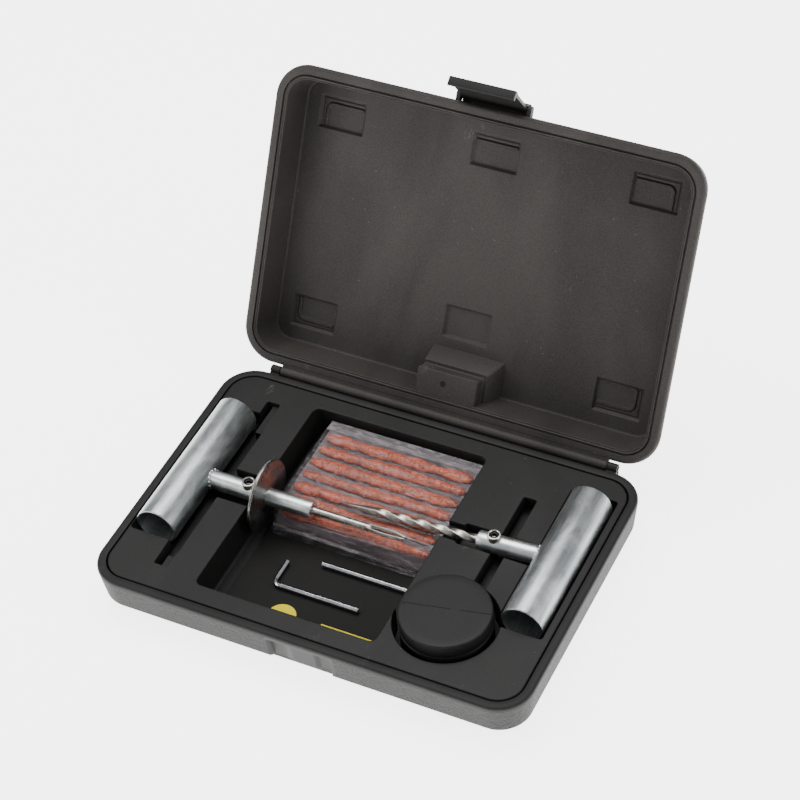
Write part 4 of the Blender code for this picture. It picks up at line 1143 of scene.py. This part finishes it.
def on_pack(s, lift):
    """Points at arc length s along the pack's face, raised along its normal: (y, z) arrays."""
    path = pack_path()
    length = np.concatenate([[0], np.cumsum(np.linalg.norm(np.diff(path, axis=0), axis=1))])
    y = np.interp(s, length, path[:, 0])
    z = np.interp(s, length, path[:, 1])
    tangent = np.gradient(path, axis=0)
    tangent /= np.linalg.norm(tangent, axis=1, keepdims=True)
    normal_y = np.interp(s, length, tangent[:, 1])
    normal_z = np.interp(s, length, -tangent[:, 0])
    return y + lift * normal_y, z + lift * normal_z, length[-1]


def strip_shell(index, left, right, ragged):
    """A tacky rope pressed flat: half width and thickness wander along x by seeded waves, and each
    section's outline is wavy too."""
    middle = FIRST_STRIP + index * STRIP_PITCH
    x = np.linspace(left, right, 300)[:, None]
    a = np.linspace(0, 2 * math.pi, 44, endpoint=False)[None]
    end = np.sqrt(np.clip(1 - (np.abs(x - (left + right) / 2) / ((right - left) / 2)) ** 14, 0.0, 1)) + 0.02
    width = (3.55 + ragged * 0.75 * wobble(x, a * 0, 11 + index, 5.0)
             + ragged * 0.3 * wobble(x, a * 2, 51 + index, 1.2))
    thick = 2.3 + 0.28 * wobble(x, a * 1.4, 31 + index, 2.2)
    drift = 0.6 * wobble(x, a * 0, 71 + index, 16.0, 2)
    fold = 0.22 * wobble(x * 1.6, np.sin(a) * 4, 91 + index, 1.0, 3)
    s = middle + drift + width * end * np.cos(a) * (1 + fold * 0.12)
    lift = -3.1 + (thick * end + fold * end) * np.sin(a)
    y, z, _ = on_pack(s, lift)
    return np.dstack([np.broadcast_to(x, s.shape), y, z])


def film_lift(x, s):
    """Height of the film: over each strip it is high, between strips it sags, with small creases."""
    height = np.zeros(np.broadcast(x, s).shape)
    for index in range(STRIPS):
        offset = (s - FIRST_STRIP - index * STRIP_PITCH) / 4.3
        height = np.maximum(height, np.exp(-(offset**4)))
    crease = 0.1 * wobble(x, s * 2.0, 5, 3.2, 3) + 0.07 * wobble(x * 0.3, s * 3.0, 6, 1.6, 3)
    return -1.35 + 1.05 * height + crease


def plug_rubber(colour):
    """Tacky fibrous rubber: orange fibres over darker red-brown folds, pale bloom and a wet sheen."""
    graph = Graph("plug rubber", 0.42, 0.0, Coat_Roughness=0.18)
    fibre = graph.noise(420, 5, graph.stretched((0.35, 1.0, 1.0)), 0.72, 1.4)
    lump = graph.noise(160, 3, None, 0.6, 1.0)
    tone = (fibre * 0.9 + lump * 0.6).step(0.5, 1.0)
    body = graph.mix(tone, shade(colour, 0.32), shade(colour, 1.35))
    bloom = graph.noise(700, 4, None, 0.7).step(0.6, 0.75) * 0.3
    graph.colour(graph.mix(bloom, body, (0.62, 0.27, 0.15, 1.0)))
    graph.set("Roughness", 0.35 + fibre * 0.3)
    graph.set("Coat Weight", 0.35)
    graph.bump(fibre + lump * 0.8, 0.0006)
    return graph.material


class TYREKIT_OT_strips(bpy.types.Operator):
    """Plug strips, the dark stack below them and the creased film that wraps them"""

    bl_idname = "tyrekit.strips"
    bl_label = "Plug strips"

    def execute(self, context):
        settings = context.scene.tyrekit_strips
        rubber = plug_rubber(settings.rubber)
        left, right = span("plug_strip_1")[0][0], span("plug_strip_1")[1][0]
        for index in range(STRIPS):
            shell = Shell(strip_shell(index, left, right, settings.ragged / MM))
            piece(f"plug_{index + 1}", [shell], rubber, "case", [f"plug_strip_{index + 1}"],
                  sharp=60)
        total = on_pack(np.array([0.0]), 0.0)[2]
        self.core(settings, total)
        self.film(settings, total)
        return {"FINISHED"}

    def core(self, settings, total):
        """The stack below: the pack's side view, 4.4 mm down, carried across its width."""
        low, high = span("strip_core")
        s = np.linspace(1.5, total - 3.0, 90)
        y, z, _ = on_pack(s, np.full(90, -3.9))
        z = np.maximum(z, low[2])
        side = np.vstack([np.column_stack([y, z]), [(y[0], low[2])]])
        x = np.array([low[0], low[0] + 0.4, high[0] - 0.4, high[0]])
        rows = [np.column_stack([np.full(len(side), at), side]) for at in x]
        graph = Graph("stack under film", 0.4)
        cloud = graph.noise(120, 4, graph.stretched((0.3, 1.0, 1.0)), 0.6, 0.8)
        band = graph.noise(60, 2, graph.stretched((0.1, 1.0, 1.0)))
        graph.colour(graph.mix((cloud * 0.8 + band * 0.5).step(0.45, 0.85), (0.040, 0.028, 0.031, 1.0),
                               (0.15, 0.115, 0.125, 1.0)))
        graph.bump(cloud, 0.0008)
        piece("strip_stack", [Shell(np.array(rows))], graph.material, "case", ["strip_core"])

    def film(self, settings, total):
        """Two faces 0.12 mm apart over the face of the pack, and the blank margin behind the strips."""
        x = np.linspace(PACK_LOW[0], PACK_HIGH[0], 170)[None]
        s = np.linspace(0.0, total, 200)[:, None]
        lift = film_lift(x, s)
        sides = []
        for extra in (0.0, -0.12):
            y, z, _ = on_pack(np.broadcast_to(s, lift.shape), lift + extra)
            sides.append(np.dstack([np.broadcast_to(x, lift.shape), y, np.maximum(z, PACK_LOW[2])]))
        graph = Graph("pack film", 0.12, 0.0, Specular_IOR_Level=0.28)
        crease = graph.noise(300, 4, graph.stretched((0.4, 1.0, 1.0)), 0.6, 1.0)
        graph.colour(graph.mix(crease.step(0.35, 0.7), shade(settings.film, 0.55), shade(settings.film, 1.0)))
        # Pale streaks along x, strongest on the pack's front curve, raise the film's alpha there: painted reflection
        # streaks on the film.
        streak = graph.noise(210, 3, graph.stretched((0.06, 1.0, 1.0)), 0.6, 0.4).step(0.52, 0.7)
        front = 1 - graph.axis("Y").step(0.002, 0.016)
        margin = graph.axis("Y").step(0.064, 0.066)
        graph.set("Roughness", 0.08 + crease * 0.15)
        graph.set("Alpha", 0.035 + crease.step(0.5, 0.75) * 0.1 + streak * (0.05 + front * 0.3) + margin * 0.12)
        graph.bump(crease, 0.0003)
        piece("wrap_film", [slab(sides[0], sides[1])], graph.material, "case", ["strip_film"],
              sharp=80)


# ---- card, keys and tub -------------------------------------------------------------------------------
class TYREKIT_OT_card(bpy.types.Operator):
    """Printed card on the floor of the well, with a plain half disc and a plain line"""

    bl_idname = "tyrekit.card"
    bl_label = "Card"

    def execute(self, context):
        low, high = span("instruction_card")
        half = (high - low) / 2
        centre = (low + high)[:2] / 2
        levels = [(half[0] - 0.1, half[1] - 0.1, 2.0, low[2]), (half[0], half[1], 2.0, low[2] + 0.1),
                  (half[0], half[1], 2.0, high[2] - 0.1), (half[0] - 0.1, half[1] - 0.1, 2.0, high[2])]
        graph = Graph("card print", 0.6, 0.0, Specular_IOR_Level=0.12)
        x, y = graph.axis("X"), graph.axis("Y")
        disc_x, disc_y, radius = -0.0266, -0.0600, 0.0084
        away = ((x - disc_x) ** 2.0 + (y - disc_y) ** 2.0) ** 0.5
        dome = (1 - away.step(radius - 0.0001, radius + 0.0001)) * y.step(-0.0574, -0.0572)
        across = x.step(-0.0031, -0.0027) * (1 - x.step(0.0309, 0.0313))
        line = across * y.step(-0.0577, -0.0575) * (1 - y.step(-0.0569, -0.0567))
        grain = graph.noise(1500, 2)
        ink = graph.mix(grain, (0.009, 0.0087, 0.008, 1.0), (0.018, 0.017, 0.016, 1.0))
        graph.colour(graph.mix(dome + line, ink, (0.84, 0.70, 0.02, 1.0)))
        graph.set("Roughness", 0.5 + grain * 0.2)
        graph.bump(grain, 0.00005)
        piece("card", [Shell(stacked(levels, centre))], graph.material, "case",
              ["instruction_card"])
        return {"FINISHED"}


def key_grid(corner, long_leg, short_leg, toward, side, radius, bend=4.0):
    """Hexagonal section with eased corners carried along an L with a round bend and chamfered ends."""
    turn = np.linspace(0, math.pi / 2, 14)
    long_points = np.array([(long_leg, 0), (long_leg - 0.35, 0), (long_leg - 8, 0), (bend + 6, 0)])
    arc = np.column_stack([bend * (1 - np.sin(turn)), side * bend * (1 - np.cos(turn))])
    short_points = np.array([(0, side * (bend + 3)), (0, side * (short_leg - 4)), (0, side * (short_leg - 0.35)),
                             (0, side * short_leg)])
    flat = np.vstack([long_points, arc, short_points])
    place = np.column_stack([corner[0] + toward * flat[:, 0], corner[1] + flat[:, 1],
                             np.full(len(flat), corner[2])])
    ahead = np.gradient(flat * (toward, 1), axis=0)
    ahead /= np.linalg.norm(ahead, axis=1, keepdims=True)
    across = np.column_stack([-ahead[:, 1], ahead[:, 0], np.zeros(len(flat))])
    angle = np.linspace(0, 2 * math.pi, 36, endpoint=False)
    hexagon = radius * math.cos(math.pi / 6) / np.cos((angle + math.pi / 6) % (math.pi / 3) - math.pi / 6)
    hexagon = np.minimum(hexagon, radius * 0.965)
    scale = np.ones(len(flat))
    scale[[0, -1]] = 0.8
    ring = scale[:, None] * hexagon[None]
    out = (ring * np.cos(angle))[..., None] * across[:, None]
    return place[:, None] + out + (ring * np.sin(angle))[..., None] * np.array([0, 0, 1.0])


class TYREKIT_OT_keys(bpy.types.Operator):
    """Two bent hex keys, and the chromed pins of the hinge and latch"""

    bl_idname = "tyrekit.keys"
    bl_label = "Hex keys and pins"

    def execute(self, context):
        chrome = plated_steel("key chrome", (0.55, 0.54, 0.56), (0.92, 0.91, 0.94), 0.14)
        for name, body, toward, side in (("hex_key_1", "key_1", 1, 1), ("hex_key_2", "key_2", -1, -1)):
            low, high = span(name)
            radius = (high[2] - low[2]) / math.sqrt(3)
            middle_z = (low[2] + high[2]) / 2
            corner_x = low[0] + radius if toward > 0 else high[0] - radius
            corner_y = low[1] + radius if side > 0 else high[1] - radius
            grid = key_grid((corner_x, corner_y, middle_z), high[0] - low[0] - radius, high[1] - low[1] - radius,
                            toward, side, radius)
            piece(f"{name}_bar", [Shell(grid)], chrome, body, [name])
        for node in ("hinge_pin", "latch_pin"):
            frame["nodes"][node].data.materials.clear()
            frame["nodes"][node].data.materials.append(chrome)
        return {"FINISHED"}


class TYREKIT_OT_tub(bpy.types.Operator):
    """Round tub and its cap with an eased edge, a fine moulding line and a lip"""

    bl_idname = "tyrekit.tub"
    bl_label = "Tub"

    def execute(self, context):
        plastic = moulded_plastic("tub plastic", (0.010, 0.0095, 0.0095), 0.44, 0.5)
        low, high = span("tub_body")
        radius = (high[0] - low[0]) / 2
        upright = Matrix.Translation((TUB_X, TUB_Y, 0)) @ Matrix.Rotation(-math.pi / 2, 4, "Y")
        cap_low, cap_high = span("tub_cap")
        neck, wall, z0, z1 = 24.2, 1.3, low[2], high[2]
        shoulder = cap_low[2] - 0.3
        body = [(z0, 0.05), (z0, radius - 2.0), (z0 + 0.25, radius - 0.7), (z0 + 1.0, radius), (shoulder - 0.6, radius),
                (shoulder, radius - 0.5), (shoulder, neck), (z1 - 0.4, neck), (z1, neck - 0.4), (z1, neck - wall + 0.3),
                (z1 - 0.4, neck - wall), (z0 + wall + 0.8, neck - wall), (z0 + wall, neck - wall - 0.8),
                (z0 + wall, 0.05)]
        piece("tub_cup", [Shell(turned(body, 112), capped=False).placed(upright)], plastic, "tub",
              ["tub_body"])
        outer = (cap_high[0] - cap_low[0]) / 2
        top, skirt, under, hollow = cap_high[2], cap_low[2], cap_high[2] - 1.6, neck + 0.35
        cap = [(skirt, hollow), (skirt, outer - 0.3), (skirt + 0.3, outer), (skirt + 1.1, outer),
               (skirt + 1.35, outer - 0.35), (skirt + 1.7, outer - 0.4), (top - 1.3, outer - 0.45),
               (top - 0.55, outer - 0.6), (top - 0.12, outer - 1.1), (top, outer - 1.9), (top, outer - 6.0), (top, 0.05),
               (under, 0.05), (under, hollow)]
        shells = [Shell(turned(cap, 128), True, capped=False).placed(upright)]
        for start, end in ((-outer + 1.4, 2.2), (7.6, outer - 1.4)):
            levels = [((end - start) / 2, 0.36, 0.2, top - 0.3), ((end - start) / 2, 0.34, 0.2, top + 0.08),
                      ((end - start) / 2 - 0.1, 0.2, 0.1, top + 0.2)]
            turn = Matrix.Translation((TUB_X, TUB_Y + 1.6, 0)) @ Matrix.Rotation(math.radians(12), 4, "Z")
            shells.append(Shell(stacked(levels, ((start + end) / 2, 0.0), 3)).placed(turn))
        piece("tub_lid", shells, plastic, "cap", ["tub_cap"])
        return {"FINISHED"}


# ---- stage --------------------------------------------------------------------------------------------
CAMERA_PLACE = (506.0, -816.3, 1051.6)  # from the middle of the rim
CAMERA_RIGHT = (0.8970, 0.4356, -0.0761)
CAMERA_UP = (-0.2602, 0.6593, 0.7055)
CAMERA_BACK = (0.3575, -0.6130, 0.7046)
LENS = 113.3


def area_light(name, place, aim, size, energy, colour=(1.0, 1.0, 1.0)):
    """Soft rectangular light aimed at a point."""
    data = bpy.data.lights.new(name, "AREA")
    data.shape = "RECTANGLE"
    data.size, data.size_y = size
    data.energy = energy
    data.color = colour
    light = bpy.data.objects.new(name, data)
    bpy.context.scene.collection.objects.link(light)
    away = Matrix.Translation(place).translation - Matrix.Translation(aim).translation
    light.matrix_world = Matrix.Translation(place) @ away.to_track_quat("Z", "Y").to_matrix().to_4x4()
    return light


class TYREKIT_OT_stage(bpy.types.Operator):
    """Pale floor, soft studio light and the camera"""

    bl_idname = "tyrekit.stage"
    bl_label = "Stage"

    def execute(self, context):
        corners = np.array([[(-3.0, -3.0, 0.0), (3.0, -3.0, 0.0)], [(-3.0, 3.0, 0.0), (3.0, 3.0, 0.0)]])
        mesh = bpy.data.meshes.new("floor")
        mesh.from_pydata((corners.reshape(-1, 3) - (0, 0, 0.0003)).tolist(), [], [(0, 1, 3, 2)])
        floor = bpy.data.objects.new("floor", mesh)
        context.scene.collection.objects.link(floor)
        paper = Graph("pale floor", 0.9)
        paper.colour((0.95, 0.95, 0.95, 1.0))
        paper.set("Emission Color", (1.0, 1.0, 1.0, 1.0))
        paper.set("Emission Strength", 4.0)
        mesh.materials.append(paper.material)
        world = bpy.data.worlds.new("studio")
        world.use_nodes = True
        world.node_tree.nodes["Background"].inputs["Color"].default_value = (0.92, 0.95, 1.0, 1.0)
        world.node_tree.nodes["Background"].inputs["Strength"].default_value = 0.42
        context.scene.world = world
        area_light("overhead", (-0.25, 0.35, 1.3), (0, 0, 0), (1.1, 0.8), 16.0)
        area_light("front left", (-1.1, -0.7, 0.8), (0, 0, 0.02), (0.7, 0.7), 7.0, (1.0, 0.98, 0.95))
        area_light("right", (1.2, 0.1, 0.7), (0, 0, 0.02), (0.5, 0.7), 5.0)
        data = bpy.data.cameras.new("camera")
        data.lens = LENS
        data.sensor_width = 36.0
        data.clip_start = 0.05
        camera = bpy.data.objects.new("camera", data)
        context.scene.collection.objects.link(camera)
        place = np.array(CAMERA_PLACE) * MM + (0, 0, RIM * MM)
        matrix = Matrix.Identity(4)
        for row in range(3):
            matrix[row][:] = (CAMERA_RIGHT[row], CAMERA_UP[row], CAMERA_BACK[row], place[row])
        camera.matrix_world = matrix
        context.scene.camera = camera
        return {"FINISHED"}


# ---- add-on -------------------------------------------------------------------------------------------
SETTINGS = (("tyrekit_case", TYREKIT_PG_case), ("tyrekit_tools", TYREKIT_PG_tools),
            ("tyrekit_strips", TYREKIT_PG_strips))
OPERATORS = (TYREKIT_OT_stage, TYREKIT_OT_base, TYREKIT_OT_tray, TYREKIT_OT_lid, TYREKIT_OT_latch,
             TYREKIT_OT_handles, TYREKIT_OT_collar, TYREKIT_OT_needle, TYREKIT_OT_rasp, TYREKIT_OT_strips,
             TYREKIT_OT_card, TYREKIT_OT_keys, TYREKIT_OT_tub)


class TYREKIT_PT_panel(bpy.types.Panel):
    bl_label = "Tyre Kit"
    bl_idname = "TYREKIT_PT_panel"
    bl_space_type = "VIEW_3D"
    bl_region_type = "UI"
    bl_category = "Tyre Kit"

    def draw(self, context):
        for name, group in SETTINGS:
            box = self.layout.box()
            for key in group.__annotations__:
                box.prop(getattr(context.scene, name), key)
        for operator in OPERATORS:
            self.layout.operator(operator.bl_idname)


def register():
    for _, group in SETTINGS:
        bpy.utils.register_class(group)
    for operator in OPERATORS:
        bpy.utils.register_class(operator)
    bpy.utils.register_class(TYREKIT_PT_panel)
    for name, group in SETTINGS:
        setattr(bpy.types.Scene, name, PointerProperty(type=group))


def unregister():
    for name, _ in SETTINGS:
        delattr(bpy.types.Scene, name)
    bpy.utils.unregister_class(TYREKIT_PT_panel)
    for operator in reversed(OPERATORS):
        bpy.utils.unregister_class(operator)
    for _, group in reversed(SETTINGS):
        bpy.utils.unregister_class(group)


def main():
    """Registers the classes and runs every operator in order."""
    register()
    for operator in OPERATORS:
        getattr(bpy.ops.tyrekit, operator.bl_idname.split(".")[1])()


if __name__ == "__main__":
    main()
